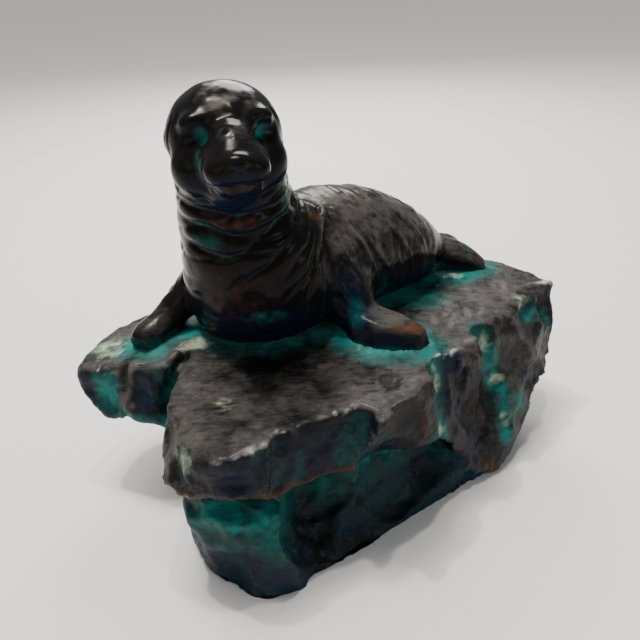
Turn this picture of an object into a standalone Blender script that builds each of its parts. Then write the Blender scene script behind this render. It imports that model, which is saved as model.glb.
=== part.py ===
"""A sea lion resting on a sea rock, a figurine cast in one piece.

Metres, +Z up. The animal faces -Y, and the rock stands on z = 0. Forms are laid out in
millimetres from a point under the middle of the rock, and the finished casting is then moved
so that the middle of its box is over the origin.
"""

import bmesh
import bpy
import numpy as np
from mathutils import Matrix, Vector

MM = 0.001

# Driving sizes of the rock, in millimetres.
ROCK_LENGTH = 208.0  # from the tip of the left spur to the tip of the right flank
ROCK_DEPTH = 162.0  # from the slab's front corner to the back of the outcrop
ROCK_TOP = 66.0  # the ledge that the animal lies on, above the table
LEDGE_THICKNESS = 24.0  # the slab that juts out over the foot at the front
FOOT_SHELF = 30.0  # top of the foot where it shows in front of the slab
SPUR_THICKNESS = 30.0  # the spur under the left fore flipper
FLANK_SCOOP = 6.0  # depth of the flutes in the right flank
FACE_SCOOP = 5.0  # depth of the two small scoops in the slab's front face
FACE_RECESS = 7.0  # how far the broken front face is set back between the two corners
SPUR_SCOOP = 10.0  # how far the hollow reaches into the spur's front
CHIP_DEPTH = 1.8  # deepest chip struck off the stone
ROCK_ROUGHNESS = 1.0  # height of the rock's broken surface
GRINDING = 5.0  # stone below the table's level, ground away so that it stands flat
APRON = 5.0  # how far the stone rises to meet the chest

# Driving sizes of the animal, in millimetres. Heights are above the rock's top.
TRUNK_LENGTH = 96.0  # from the shoulders to the root of the tail, in plan
TRUNK_WIDTH = 52.0
TRUNK_HEIGHT = 46.0
CHEST_WIDTH = 60.0
NECK_WIDTH = 40.0
HEAD_WIDTH = 39.0
HEAD_HEIGHT = 81.0  # centre of the skull
HEAD_TURN = 13.0  # degrees that the face looks to the animal's left
MUZZLE_LENGTH = 17.0  # how far the muzzle stands out of the skull
MUZZLE_WIDTH = 20.5
EYE_DEPTH = 3.2
FOLD_DEPTH = 1.4
WRINKLE_DEPTH = 1.0
FLIPPER_THICKNESS = 11.0
HAND_HEIGHT = 12.0  # the thick root of the right fore flipper's hand

# How the surface is made.
VOXEL = 1.3  # grain of the fused surface, in millimetres
FACE_COUNT = 12700  # triangles of the finished casting, before it is cut level with the table
RING_POINTS = 32


def main():
    clear_scene()
    parts = new_collection("sea_lion_figurine")
    rock = rock_solid()
    animal = animal_solid()
    casting = cast_in_one(rock, animal)
    casting.name = "sea_lion_on_rock"
    casting.data.name = casting.name
    casting.data.materials.append(patinated_bronze())
    for helper in list(bpy.data.objects):
        if helper is not casting:
            bpy.data.objects.remove(helper)
    bpy.context.scene.collection.objects.unlink(casting)
    parts.objects.link(casting)


# Scene and mesh helpers.


def clear_scene():
    for thing in list(bpy.data.objects):
        bpy.data.objects.remove(thing)


def new_collection(name):
    made = bpy.data.collections.new(name)
    bpy.context.scene.collection.children.link(made)
    return made


def new_object(name, mesh):
    made = bpy.data.objects.new(name, mesh)
    bpy.context.scene.collection.objects.link(made)
    return made


def from_bmesh(name, work):
    bmesh.ops.recalc_face_normals(work, faces=work.faces)
    mesh = bpy.data.meshes.new(name)
    work.to_mesh(mesh)
    work.free()
    return new_object(name, mesh)


def modified(thing, kind, **settings):
    """The object with one modifier of that kind applied."""
    modifier = thing.modifiers.new(kind.lower(), kind)
    for key, value in settings.items():
        setattr(modifier, key, value)
    graph = bpy.context.evaluated_depsgraph_get()
    mesh = bpy.data.meshes.new_from_object(thing.evaluated_get(graph))
    thing.modifiers.clear()
    thing.data = mesh
    return thing


def joined(name, things):
    """One object that holds the faces of all of them."""
    work = bmesh.new()
    for thing in things:
        work.from_mesh(thing.data)
        bpy.data.objects.remove(thing)
    mesh = bpy.data.meshes.new(name)
    work.to_mesh(mesh)
    work.free()
    return new_object(name, mesh)


def fused(name, things, grain):
    """The closed shapes melted into one skin, by a voxel remesh of that grain."""
    return modified(joined(name, things), "REMESH", mode="VOXEL", voxel_size=grain * MM)


def carved(thing, cutters):
    """The object with the cutters taken out of it."""
    for cutter in cutters:
        modified(thing, "BOOLEAN", operation="DIFFERENCE", object=cutter)
        bpy.data.objects.remove(cutter)
    return thing


def edges_of(thing):
    ends = np.empty(len(thing.data.edges) * 2, np.int32)
    thing.data.edges.foreach_get("vertices", ends)
    return ends.reshape(-1, 2)


def relaxed(table, ends, rounds):
    """Each row moved halfway to the mean of its neighbours, some rounds over."""
    count = np.bincount(ends.ravel(), minlength=len(table))[:, None]
    for _ in range(rounds):
        total = np.zeros_like(table)
        np.add.at(total, ends[:, 0], table[ends[:, 1]])
        np.add.at(total, ends[:, 1], table[ends[:, 0]])
        table = 0.5 * (table + total / count)
    return table


def points_of(thing):
    """(positions in millimetres, unit normals) of an object's vertices, as arrays."""
    count = len(thing.data.vertices)
    places, normals = np.empty(count * 3), np.empty(count * 3)
    thing.data.vertices.foreach_get("co", places)
    thing.data.vertices.foreach_get("normal", normals)
    return places.reshape(-1, 3) / MM, normals.reshape(-1, 3)


def put_points(thing, places):
    thing.data.vertices.foreach_set("co", (places * MM).ravel())
    thing.data.update()


# Shapes.


def ball(name, centre, radii, turn=0.0):
    """An ellipsoid, turned about the vertical by that many degrees."""
    work = bmesh.new()
    bmesh.ops.create_uvsphere(work, u_segments=32, v_segments=20, radius=1.0)
    place = Matrix.Translation(Vector(centre) * MM)
    spin = Matrix.Rotation(np.radians(turn), 4, "Z")
    size = Matrix.Diagonal((*(r * MM for r in radii), 1.0))
    bmesh.ops.transform(work, matrix=place @ spin @ size, verts=work.verts)
    return from_bmesh(name, work)


def block(name, corners):
    """A faceted block of stone: the convex hull of its corners."""
    work = bmesh.new()
    for corner in corners:
        work.verts.new(Vector(corner) * MM)
    hull = bmesh.ops.convex_hull(work, input=work.verts)
    inside = [v for v in hull["geom_interior"] if isinstance(v, bmesh.types.BMVert)]
    bmesh.ops.delete(work, geom=inside, context="VERTS")
    return from_bmesh(name, work)


def loft(name, stations, up=(0.0, 0.0, 1.0), squareness=2.0):
    """A closed limb carried along a path.

    Each station is (x, y, z, half width, half height): the section there is a superellipse
    across the path, its height towards the direction up. It is an ellipse at squareness 2.
    Between stations the numbers follow a Catmull-Rom curve, and both ends are closed flat.
    """
    table = catmull_rom(np.array(stations, float), 6)
    path, half_width, half_height = table[:, :3], table[:, 3], table[:, 4]
    along = np.gradient(path, axis=0)
    along /= np.linalg.norm(along, axis=1, keepdims=True)
    side = np.cross(along, np.array(up, float))
    side /= np.linalg.norm(side, axis=1, keepdims=True)
    rise = np.cross(side, along)
    turn = np.linspace(0.0, 2.0 * np.pi, RING_POINTS, endpoint=False)
    across = np.sign(np.cos(turn)) * np.abs(np.cos(turn)) ** (2.0 / squareness)
    height = np.sign(np.sin(turn)) * np.abs(np.sin(turn)) ** (2.0 / squareness)
    ring = (
        path[:, None, :]
        + (half_width[:, None] * across)[..., None] * side[:, None, :]
        + (half_height[:, None] * height)[..., None] * rise[:, None, :]
    )
    work = bmesh.new()
    rings = [[work.verts.new(Vector(p) * MM) for p in row] for row in ring]
    for lower, upper in zip(rings, rings[1:]):
        for i in range(RING_POINTS):
            j = (i + 1) % RING_POINTS
            work.faces.new((lower[i], lower[j], upper[j], upper[i]))
    for row in (rings[0], rings[-1]):
        work.faces.new(row)
    return from_bmesh(name, work)


def catmull_rom(knots, steps):
    """Rows on a smooth curve through the knots, with that many steps between two knots."""
    padded = np.vstack([2 * knots[0] - knots[1], knots, 2 * knots[-1] - knots[-2]])
    t = np.linspace(0.0, 1.0, steps, endpoint=False)[:, None]
    rows = []
    for a, b, c, d in zip(padded, padded[1:], padded[2:], padded[3:]):
        rows.append(
            0.5 * (2 * b + (c - a) * t + (2 * a - 5 * b + 4 * c - d) * t**2 + (3 * b - a - 3 * c + d) * t**3)
        )
    return np.vstack(rows + [knots[-1:]])


# Carving: each tool takes positions and returns how far each point moves along its normal.


def near_point(places, centre, radii):
    """1 at the centre, falling smoothly to 0 at the radii."""
    reach = np.linalg.norm((places - np.array(centre, float)) / np.array(radii, float), axis=1)
    return np.clip(1.0 - reach**2, 0.0, 1.0) ** 2


def near_line(places, knots, width):
    """1 on a smooth line through the knots, falling as a bell curve of that width."""
    line = catmull_rom(np.array(knots, float), 6)
    starts, runs = line[:-1], np.diff(line, axis=0)
    nearest = np.full(len(places), np.inf)
    for start, run in zip(starts, runs):
        share = np.clip((places - start) @ run / (run @ run), 0.0, 1.0)
        gap = np.linalg.norm(places - start - share[:, None] * run, axis=1)
        nearest = np.minimum(nearest, gap)
    return np.exp(-((nearest / width) ** 2))


def ramp(values, low, high):
    """0 below low, 1 above high, smooth between."""
    share = np.clip((values - low) / (high - low), 0.0, 1.0)
    return share * share * (3.0 - 2.0 * share)


def layered(places, cell, seed, octaves):
    """Noise at several sizes, each half the size and a little over half the strength."""
    total, strength, size = 0.0, 1.0, np.array(cell, float)
    for octave in range(octaves):
        total = total + strength * lattice_noise(places, size, seed + octave)
        strength, size = 0.55 * strength, 0.5 * size
    return total


def lattice_noise(places, cell, seed):
    """Smooth noise from -1 to 1: random values on a lattice, blended between its corners."""
    grid = places / cell
    base = np.floor(grid).astype(np.int64)
    share = grid - base
    share = share * share * (3.0 - 2.0 * share)
    total = np.zeros(len(places))
    for dx in (0, 1):
        for dy in (0, 1):
            for dz in (0, 1):
                corner = base + (dx, dy, dz)
                weight = np.prod(np.where((dx, dy, dz), share, 1.0 - share), axis=1)
                total += weight * hashed(corner, seed)
    return total


def hashed(corner, seed):
    """A repeatable value from -1 to 1 for each lattice corner."""
    mixed = np.sin(corner @ np.array([127.1, 311.7, 74.7]) + seed * 17.3) * 43758.5453
    return 2.0 * (mixed - np.floor(mixed)) - 1.0


# The rock.


def rock_solid():
    """The outcrop: stones fused, chipped, broken out at the front and fluted at the flank."""
    top, ledge = ROCK_TOP, ROCK_TOP - LEDGE_THICKNESS
    stones = [foot_front(), foot_core(ledge), front_slab(top, ledge), hanging_tooth(ledge)]
    stones += [right_flank(top), left_spur(top), back_stone(top)]
    rock = struck(fused("rock", stones, VOXEL))
    cutters = [front_recess(top, ledge), front_bite(top, ledge), *face_scoops(top, ledge)]
    rock = carved(rock, [*cutters, *flank_flutes(top), spur_scoop(top)])
    rock = fused("rock", [rock, apron(top)], VOXEL)
    places, normals = points_of(rock)
    put_points(rock, places + normals * rock_relief(places, normals)[:, None])
    return rock


def on_plan(x, y):
    """A point of the rock's plan, laid out at 208 by 162 and stretched to its length and depth."""
    return x * ROCK_LENGTH / 208.0, y * ROCK_DEPTH / 162.0


def stone(name, corners):
    return block(name, [(*on_plan(x, y), z) for x, y, z in corners])


def on_table(outline):
    """The outline at the table's level, and again below it for the stone that is ground away."""
    return [(x, y, z) for x, y in outline for z in (0.0, -GRINDING)]


def foot_front():
    """The pillar at the front left, whose top shows as a shelf under the slab."""
    shelf = FOOT_SHELF
    table = [(-54, -40), (-44, -57), (-28, -70), (-23, -71), (-9, -67), (0, -20), (-40, -10)]
    crown = [(-53, -50, shelf), (-50, -60, shelf - 1), (-38, -66, shelf), (-12, -72, shelf), (-8, -68, shelf)]
    root = [(-6, -52, shelf + 10), (0, -20, shelf + 14), (-45, -15, shelf + 14)]
    return stone("foot_front", on_table(table) + crown + root)


def foot_core(ledge):
    table = [(-56, -20), (-30, -54), (-8, -62), (7, -54), (25, -41), (39, -27), (53, -20)]
    table += [(70, -10), (76, 10), (62, 45), (15, 66), (-30, 60), (-56, 25)]
    crown = [(-50, -18), (-25, -44), (-2, -43), (22, -36), (42, -26), (60, -8)]
    crown += [(72, 40), (20, 66), (-35, 60), (-58, 28)]
    return stone("foot_core", on_table(table) + [(x, y, ledge + 3) for x, y in crown])


def front_slab(top, ledge):
    """The slab that juts out over the foot, thick at the left and thinning to the right."""
    crown = [(-47, -57, -3), (-36, -70, -4), (-26, -70, -3), (26, -53, -2), (36, -38, -1), (42, -20, 0)]
    crown += [(52, 0, 1), (30, 50, 1), (-20, 40, 2), (-49, 0, 1), (-55, -36, -1)]
    keel = [(-58, -59, 3), (-48, -65, 2), (-33, -69, 2), (-19, -68, 2), (-14, -64, 1), (12, -53, -1)]
    keel += [(27, -48, -4), (38, -42, -8), (50, -33, -17), (52, 20, -2), (-20, 40, 0), (-52, 0, 2)]
    corners = [(x, y, top + z) for x, y, z in crown] + [(x, y, ledge + z) for x, y, z in keel]
    return stone("front_slab", corners)


def hanging_tooth(ledge):
    """The small wedge that hangs from the slab's underside at the foot's corner."""
    upper = [(-22, -67), (-11, -64), (-8, -54), (-22, -54)]
    tip = [(-15, -69, ledge - 7), (-11.5, -67, ledge - 9), (-10, -58, ledge - 7)]
    return stone("hanging_tooth", [(x, y, ledge + 3) for x, y in upper] + tip)


def right_flank(top):
    crown = [(38, -36, -2), (44, -21, -1), (54, -15, -1), (63, 0, 0), (73, 8, 0), (83, 24, -1), (94, 36, -1)]
    crown += [(108, 44, -3), (99, 57, -2), (86, 69, -1), (50, 80, 0), (10, 78, 0), (-10, 20, 0)]
    keel = [(50, -33, 22), (63, -22, 12), (74, -12, 0), (79, -7, 2), (86, -1, 8), (92, 8, 12), (99, 16, 20)]
    keel += [(105, 24, 30), (108, 32, 42), (100, 50, 35), (80, 68, 20), (50, 76, 10), (0, 60, 10), (0, 0, 10)]
    return stone("right_flank", [(x, y, top + z) for x, y, z in crown] + keel)


def left_spur(top):
    """The spur that carries the left fore flipper, undercut at its tip."""
    crown = [(-72, 38, -4), (-87, 25, -5), (-92, 17, -7), (-98, 4, -8), (-98, -5, -9), (-76, -8, -6)]
    crown += [(-62, -14, -3), (-50, -5, 0), (-45, 25, 1)]
    keel = [(-101, 0, -15), (-96, -11, -23), (-90, -13, -29), (-79, -18, -31), (-71, -21, -32), (-60, -18, -35)]
    keel += [(-56, 30, -38), (-88, 22, -28), (-97, 12, -20)]
    sink = 30.0 - SPUR_THICKNESS
    corners = [(x, y, top + z) for x, y, z in crown] + [(x, y, top + z + sink) for x, y, z in keel]
    return stone("left_spur", corners)


def back_stone(top):
    """The back of the outcrop, under the animal's trunk."""
    crown = [(-66, 34, -4), (-48, 58, -6), (-10, 82, -4), (30, 92, -3), (62, 84, -3), (84, 66, -2), (0, 0, 0)]
    keel = [(-58, 30, 20), (-40, 52, 8), (-8, 72, 4), (28, 80, 6), (56, 74, 14), (74, 58, 24), (0, 0, 10)]
    return stone("back_stone", [(x, y, top + z) for x, y, z in crown] + keel)


def front_recess(top, ledge):
    """What broke off the slab's front: the rim runs back behind the line of the two corners."""
    back = FACE_RECESS - 7.0
    rim = [(-18.5, -63), (-17.5, -58 + back), (-7, -53.3 + back), (12, -44.5 + back), (19, -48)]
    low = [(-18, -66), (-3, -58 + 0.5 * back), (13, -51.5)]
    corners = [(x, y, top + 4) for x, y in rim] + [(x, y, ledge + 2.5) for x, y in low]
    corners += [(x, -95, z) for x in (-18.5, 22) for z in (top + 4, ledge + 2.5)]
    return stone("front_recess", corners)


def front_bite(top, ledge):
    """The hollow at the slab's left corner, which opens through its top edge."""
    rim = [(-34, -73), (-29, -67.5), (-24, -65), (-18.5, -61.5)]
    low = [(-33, -75), (-26, -71), (-18, -69)]
    corners = [(x, y, top + 4) for x, y in rim] + [(x, y, ledge + 5) for x, y in low]
    corners += [(x, -95, z) for x in (-34, -18) for z in (top + 4, ledge + 5)]
    return stone("front_bite", corners)


def face_scoops(top, ledge):
    middle = 0.5 * (top + ledge)
    dark = ball("dark_scoop", (*on_plan(-30, -76), middle - 2), (13, 6 + FACE_SCOOP / 2, 7), 12)
    corner = ball("corner_scoop", (*on_plan(-53, -68), middle), (6, 6 + FACE_SCOOP / 2, 9), -35)
    return [dark, corner]


def flank_flutes(top):
    """The two long flutes of the right flank and the scoop near its tip."""
    out = FLANK_SCOOP - 6.0
    first = [(45.5, -26, 4, 8, 7), (48.5, -28, -8, 9.5, 9), (51, -31.5, -20, 10, 8.5)]
    first += [(52.5, -33, -31, 9, 7), (54, -34, -37, 6, 4)]
    second = [(66, -2, 4, 5, 7), (69.5, -4.5, -10, 6, 8), (74, -8.5, -30, 6, 8), (78, -13.5, -52, 5, 6)]
    flutes = []
    for name, rows in (("first_flute", first), ("second_flute", second)):
        deeper = []
        for x, y, z, *halves in rows:
            across, along = on_plan(x, y)
            deeper.append((across - 0.75 * out, along + 0.65 * out, top + z, *halves))
        flutes.append(loft(name, deeper, up=(0.75, -0.65, 0.0)))
    across, along = on_plan(105, 31)
    flutes.append(ball("tip_scoop", (across - out, along + out, top - 9), (9, 8, 10)))
    return flutes


def spur_scoop(top):
    """The hollow on the spur's front, under its rim."""
    return ball("spur_scoop", (*on_plan(-91, -19), top - 19), (16, 2 + SPUR_SCOOP, 15), -20)


def apron(top):
    """The low mound that the chest and the right flipper rest on."""
    return ball("apron", (-12, 12, top - 4), (42, 25, APRON + 4), -12)


def struck(rock):
    """The stone with chips struck off it.

    Each chip is a ball that bites in from outside by a small depth: a point inside the ball
    moves straight away from its centre, out to its surface. Big balls leave flat facets on the
    stone's edges, and small ones leave hollows with a crisp rim. None is struck near the table
    or where the animal lies.
    """
    ends = edges_of(rock)
    places, normals = points_of(rock)
    normals = relaxed(normals, ends, 8)
    normals /= np.linalg.norm(normals, axis=1, keepdims=True)
    free = np.clip(1.0 - 4.0 * near_point(places, (-15, 8, ROCK_TOP), (62, 30, 40)), 0.0, 1.0)
    free *= ramp(places[:, 2], 5.0, 12.0)
    low, high = places.min(axis=0), places.max(axis=0)
    pick = np.random.default_rng(5)
    spots = low + pick.random((900, 3)) * (high - low)
    chances, tilts = pick.random((900, 3)), pick.normal(0.0, 0.15, (900, 3))
    for spot, (luck, size, deep), tilt in zip(spots, chances, tilts):
        gaps = np.sum((places - spot) ** 2, axis=1)
        start = int(np.argmin(gaps))
        steep = 1.0 - max(normals[start, 2], 0.0) ** 2
        if gaps[start] > 400.0 or luck > free[start] * (0.12 + 0.88 * steep):
            continue
        radius = 10.0 + 34.0 * size
        depth = CHIP_DEPTH * (0.35 + 0.8 * deep) * (0.35 + 0.65 * steep)
        away = normals[start] + tilt
        away /= np.linalg.norm(away)
        centre = places[start] + away * (radius - depth)
        reach = 1.5 * np.sqrt(2.0 * radius * depth) + 1.5
        near = np.flatnonzero(np.sum((places - places[start]) ** 2, axis=1) < reach * reach)
        gap = places[near] - centre
        far = np.linalg.norm(gap, axis=1)
        places[near] += gap * (np.clip(radius - far, 0.0, 1.8 * depth) / far)[:, None]
    put_points(rock, relaxed(places, ends, 1))
    return rock


def rock_relief(places, normals):
    """How far each point of the rock stands out: a slow swell, and breakage on rough patches."""
    steep = 1.0 - np.clip(normals[:, 2], 0.0, 1.0)
    swell = layered(places, (16.0, 16.0, 10.0), 17, 2)
    rough = ramp(lattice_noise(places, 14.0, 19), -0.35, 0.45)
    cracked = 0.4 - np.abs(layered(places, (6.0, 6.0, 5.0), 21, 2))
    return ROCK_ROUGHNESS * (0.7 * swell + cracked * rough * (0.35 + 0.55 * steep))


# The animal.


def animal_solid():
    forms = [chest_and_neck(), trunk(), *head(), *fore_flippers(), *hind_flippers()]
    animal = fused("animal", forms, VOXEL)
    animal = modified(animal, "SMOOTH", factor=0.5, iterations=4)
    places, normals = points_of(animal)
    depth = face_carving(places) + FOLD_DEPTH * neck_folds(places) + WRINKLE_DEPTH * trunk_folds(places)
    put_points(animal, places - normals * depth[:, None])
    return animal


def above_rock(rows):
    return [(x, y, ROCK_TOP + z, *rest) for x, y, z, *rest in rows]


def chest_and_neck():
    chest, neck, head_at = CHEST_WIDTH / 2, NECK_WIDTH / 2, HEAD_HEIGHT
    rows = [
        (-18, 18, -6, 0.65 * chest, 12),
        (-19, 15, 3, 0.88 * chest, 17),
        (-21, 11, 13, 1.02 * chest, 23),
        (-22, 6, 26, 1.00 * chest, 25.5),
        (-25, 4, 38, 0.92 * chest, 25.5),
        (-28, 3, head_at - 32, 1.15 * neck, 24.5),
        (-29, 1, head_at - 22, 1.02 * neck, 22.8),
        (-29, -2, head_at - 11, 0.98 * neck, 21),
        (-29, -3.5, head_at - 1, 0.94 * neck, 19),
    ]
    return loft("chest_and_neck", above_rock(rows), up=(0, -1, 0))


def down_trunk(x, y):
    """A point of the trunk's plan, stretched away from the shoulders to the trunk's length."""
    stretch = TRUNK_LENGTH / 96.0
    return -22.0 + (x + 22.0) * stretch, 6.0 + (y - 6.0) * stretch


def trunk():
    wide, high = TRUNK_WIDTH / 2, TRUNK_HEIGHT / 2
    rows = [
        (-22, 6, 25, 0.90 * wide, 1.00 * high),
        (-6, 19, 26, 1.04 * wide, 1.12 * high),
        (10, 32, 24.5, 1.06 * wide, 1.12 * high),
        (24, 44, 20, 1.02 * wide, 1.00 * high),
        (36, 54, 14.5, 0.92 * wide, 0.80 * high),
        (46, 61, 9, 0.74 * wide, 0.60 * high),
        (54, 65, 4, 0.50 * wide, 0.40 * high),
    ]
    return loft("trunk", above_rock([(*down_trunk(x, y), *rest) for x, y, *rest in rows]))


def hind_flippers():
    """The hind flippers, folded together behind the hips, and the tail between them."""
    near = [(44, 57, 8, 9, 9), (54, 57, 7.5, 8, 8.5), (63, 57, 6.5, 7.5, 8), (71, 57, 3.5, 7, 6)]
    near.append((78, 56, 0, 5.5, 3.6))
    far = [(44, 64, 9, 8, 8), (54, 70, 6, 6.5, 7), (63, 76, 3, 6, 5), (71, 81, 0, 4.5, 3)]
    fold = [(52, 62, 9, 5, 6), (60, 63, 9.5, 5, 6), (66, 65, 6, 4, 5), (71, 68, 2, 3, 3.5)]
    hips, unmoved = down_trunk(54, 65), (54, 65)
    across, along = hips[0] - unmoved[0], hips[1] - unmoved[1]
    made = []
    for name, rows in (("near_hind_flipper", near), ("far_hind_flipper", far), ("tail_fold", fold)):
        made.append(loft(name, above_rock([(x + across, y + along, *rest) for x, y, *rest in rows])))
    return made


def on_head(side, forward, up):
    """A point from the skull's centre: to the animal's left, out along the face, and up."""
    turn = np.radians(HEAD_TURN)
    x = -29.5 + side * np.cos(turn) + forward * np.sin(turn)
    y = -4.0 + side * np.sin(turn) - forward * np.cos(turn)
    return (x, y, ROCK_TOP + HEAD_HEIGHT + up)


def head():
    half, wide = HEAD_WIDTH / 2, MUZZLE_WIDTH / 2
    out = half + MUZZLE_LENGTH - 36.5  # how much further the muzzle reaches than it did when laid out
    snout = [(2, -1, 0.84 * half, 15), (10, -1.5, 0.76 * half, 13.4), (17, -2.5, 0.64 * half, 11.2)]
    snout += [(23 + out, -3.2, 0.53 * half, 9), (28 + out, -3.4, 0.42 * half, 7)]
    rows = [(*on_head(0, forward, up), *halves) for forward, up, *halves in snout]
    forms = [loft("snout", rows, squareness=2.3)]
    balls = [
        ("skull", 0, 0, 0, half, half + 1.5, half - 1.5),
        ("bridge", 0, 16, 3.4, 6.8, 13, 6.2),
        ("muzzle", 0, 23.5 + out, -2.9, wide, 12, 8.7),
        ("nose", 0, 34 + out, -0.4, 0.5 * wide, 3.4, 3.3),
        ("chin", 0, 25 + out, -8.8, 0.72 * wide, 8.5, 4.2),
        ("jaw", 0, 12, -12, 11, 14, 8),
    ]
    for side in (-1, 1):
        balls.append(("whisker_pad", side * 0.44 * wide, 29 + out, -3.3, 0.60 * wide, 6.9, 5.3))
        balls.append(("cheek", side * 0.52 * half, 0.50 * half, -7, 9.3, 10, 10))
        balls.append(("brow", side * 0.46 * half, 0.62 * half, 7.6, 6.4, 5.2, 3.8))
        balls.append(("ear", side * (half - 0.9), -4, -1, 1.7, 3, 4.4))
    for name, side, forward, up, *radii in balls:
        forms.append(ball(name, on_head(side, forward, up), radii, HEAD_TURN))
    return forms


def fore_flippers():
    """The right flipper, bent at the wrist onto its broad hand, and the left one along the spur."""
    thick = FLIPPER_THICKNESS / 2
    right = [(0, 12, 34, 11, 12), (8, 8, 24, 12, 12), (12, 3, 14, 10.5, 10), (14, -2, 7, 8.5, 7)]
    rise = HAND_HEIGHT - 12.0
    hand_top = [(8, 7, 13), (24, 1, 12), (34, -7, 11), (40, -13, 9), (37, -17, 8), (20, -13, 11), (11, -6, 13)]
    hand_foot = [(5, 4), (12, -12), (23, -18), (38, -18), (43, -13), (36, 1), (20, 10)]
    corners = [(x, y, z + rise) for x, y, z in hand_top] + [(x, y, -3) for x, y in hand_foot]
    left = [
        (-36, 14, 28, 10, 11),
        (-47, 18, 18, 9.5, 10),
        (-56, 15, 10, 8, 1.36 * thick),
        (-63, 9, 4, 7, 1.15 * thick),
        (-69, 3, 1, 7.0, 1.15 * thick),
        (-72, -2, -1, 5.6, 0.90 * thick),
    ]
    hand = block("right_hand", above_rock(corners))
    return [loft("right_arm", above_rock(right)), hand, loft("left_fore_flipper", above_rock(left))]


def face_carving(places):
    """Depth cut into the head: eye sockets, the groove round the muzzle, and the mouth."""
    out = HEAD_WIDTH / 4
    reach = MUZZLE_LENGTH - 17.0
    cut = EYE_DEPTH * near_point(places, on_head(-0.89 * out, 17.0, 4.4), (6.8, 9.0, 6.4))
    cut += EYE_DEPTH * near_point(places, on_head(1.09 * out, 16.0, 3.6), (6.8, 9.0, 6.4))
    for side in (-1, 1):
        ring = [on_head(side * 2.5, 25.5, 5.8), on_head(side * 8.0, 23.5, 3.2), on_head(side * 11.2, 21.5, -2.4)]
        ring += [on_head(side * 10.2, 20.5, -8.6), on_head(side * 4.5, 21.0, -12.2), on_head(0, 21.5, -12.8)]
        cut += 0.6 * near_line(places, ring, 1.4)
        lip = [on_head(0, 34.6 + reach, -7.4), on_head(side * 4.5, 33.2 + reach, -8.0)]
        lip += [on_head(side * 8.0, 29.5 + reach, -7.6), on_head(side * 10.4, 24.0, -6.2)]
        cut += 0.5 * near_line(places, lip, 1.2)
    return cut


def neck_folds(places):
    """Skin folds that ring the neck, lower at the throat than at the nape."""
    share = HEAD_HEIGHT / 81.0
    wander = 1.5 * lattice_noise(places, 14.0, 7)
    level = places[:, 2] - ROCK_TOP - 0.25 * (places[:, 1] + 20.0) + 0.10 * (places[:, 0] + 30.0) + wander
    folds = sum(np.exp(-(((level - share * height) / 1.7) ** 2)) for height in (44.0, 51.0, 58.0, 64.0))
    return folds * (places[:, 0] < 16.0)


def trunk_folds(places):
    """Loose skin that sweeps from the nape and the back down to the elbow."""
    folds = [
        [(-6, 12, 54), (-4.5, 3, 51.5), (-3, -6, 47), (-5, -13, 41)],
        [(-1.4, 21, 51.7), (2.5, 10.7, 49), (1.7, -1.3, 43.3), (-0.1, -8.7, 38.7), (-1, -11, 30)],
        [(11, 29, 50.6), (16.6, 22.4, 48.4), (24, 17, 41.3), (26.1, 14.5, 37.2)],
        [(7, 11, 47.5), (14.2, 6.4, 39.7), (18.4, 5.9, 34.4), (20.6, 4.8, 26), (19.4, -0.4, 19.1)],
        [(15, 31, 49.3), (22.6, 24, 45.5), (27.5, 20.6, 40.7), (29.2, 17.2, 36.4)],
        [(31.9, 20.2, 36), (32.5, 16.3, 22.8)],
    ]
    cut = np.zeros(len(places))
    for knots in folds:
        line = above_rock(knots)
        cut += 0.4 * near_line(places, line, 3.4) - near_line(places, line, 1.5)
    return cut


# The casting.


def cast_in_one(rock, animal):
    """Animal and rock in one skin, cut to its face count, flat below and centred."""
    casting = fused("casting", [rock, animal], VOXEL)
    casting = modified(casting, "SMOOTH", factor=0.5, iterations=1)
    casting = modified(casting, "TRIANGULATE")
    casting = modified(casting, "DECIMATE", ratio=min(1.0, FACE_COUNT / len(casting.data.polygons)))
    casting = centred(flat_below(casting))
    casting.data.shade_smooth()
    return casting


def flat_below(casting):
    """Cuts the casting level with the table and closes the cut with one flat face."""
    work = bmesh.new()
    work.from_mesh(casting.data)
    whole = work.verts[:] + work.edges[:] + work.faces[:]
    plane = {"plane_co": (0, 0, 0), "plane_no": (0, 0, 1), "clear_inner": True}
    cut = bmesh.ops.bisect_plane(work, geom=whole, **plane)
    rim = [e for e in cut["geom_cut"] if isinstance(e, bmesh.types.BMEdge)]
    bmesh.ops.contextual_create(work, geom=rim)
    bmesh.ops.triangulate(work, faces=[f for f in work.faces if len(f.verts) > 3])
    bmesh.ops.recalc_face_normals(work, faces=work.faces)
    work.to_mesh(casting.data)
    work.free()
    return casting


def centred(casting):
    places, _ = points_of(casting)
    middle = 0.5 * (places.min(axis=0) + places.max(axis=0))
    put_points(casting, places - (middle[0], middle[1], 0.0))
    return casting


def patinated_bronze():
    """Near-black lacquered bronze, the tone that the casting has between its green hollows."""
    made = bpy.data.materials.new("patinated_bronze")
    made.use_nodes = True
    shader = made.node_tree.nodes["Principled BSDF"]
    shader.inputs["Base Color"].default_value = (0.035, 0.034, 0.033, 1.0)
    shader.inputs["Roughness"].default_value = 0.32
    shader.inputs["Metallic"].default_value = 0.2
    return made


main()
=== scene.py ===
"""Looks of the sea lion figurine: a dark lacquered casting with turquoise patina in its hollows."""

from functools import partial

import bmesh
import bpy
import numpy as np
from mathutils import Matrix, Vector


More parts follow.
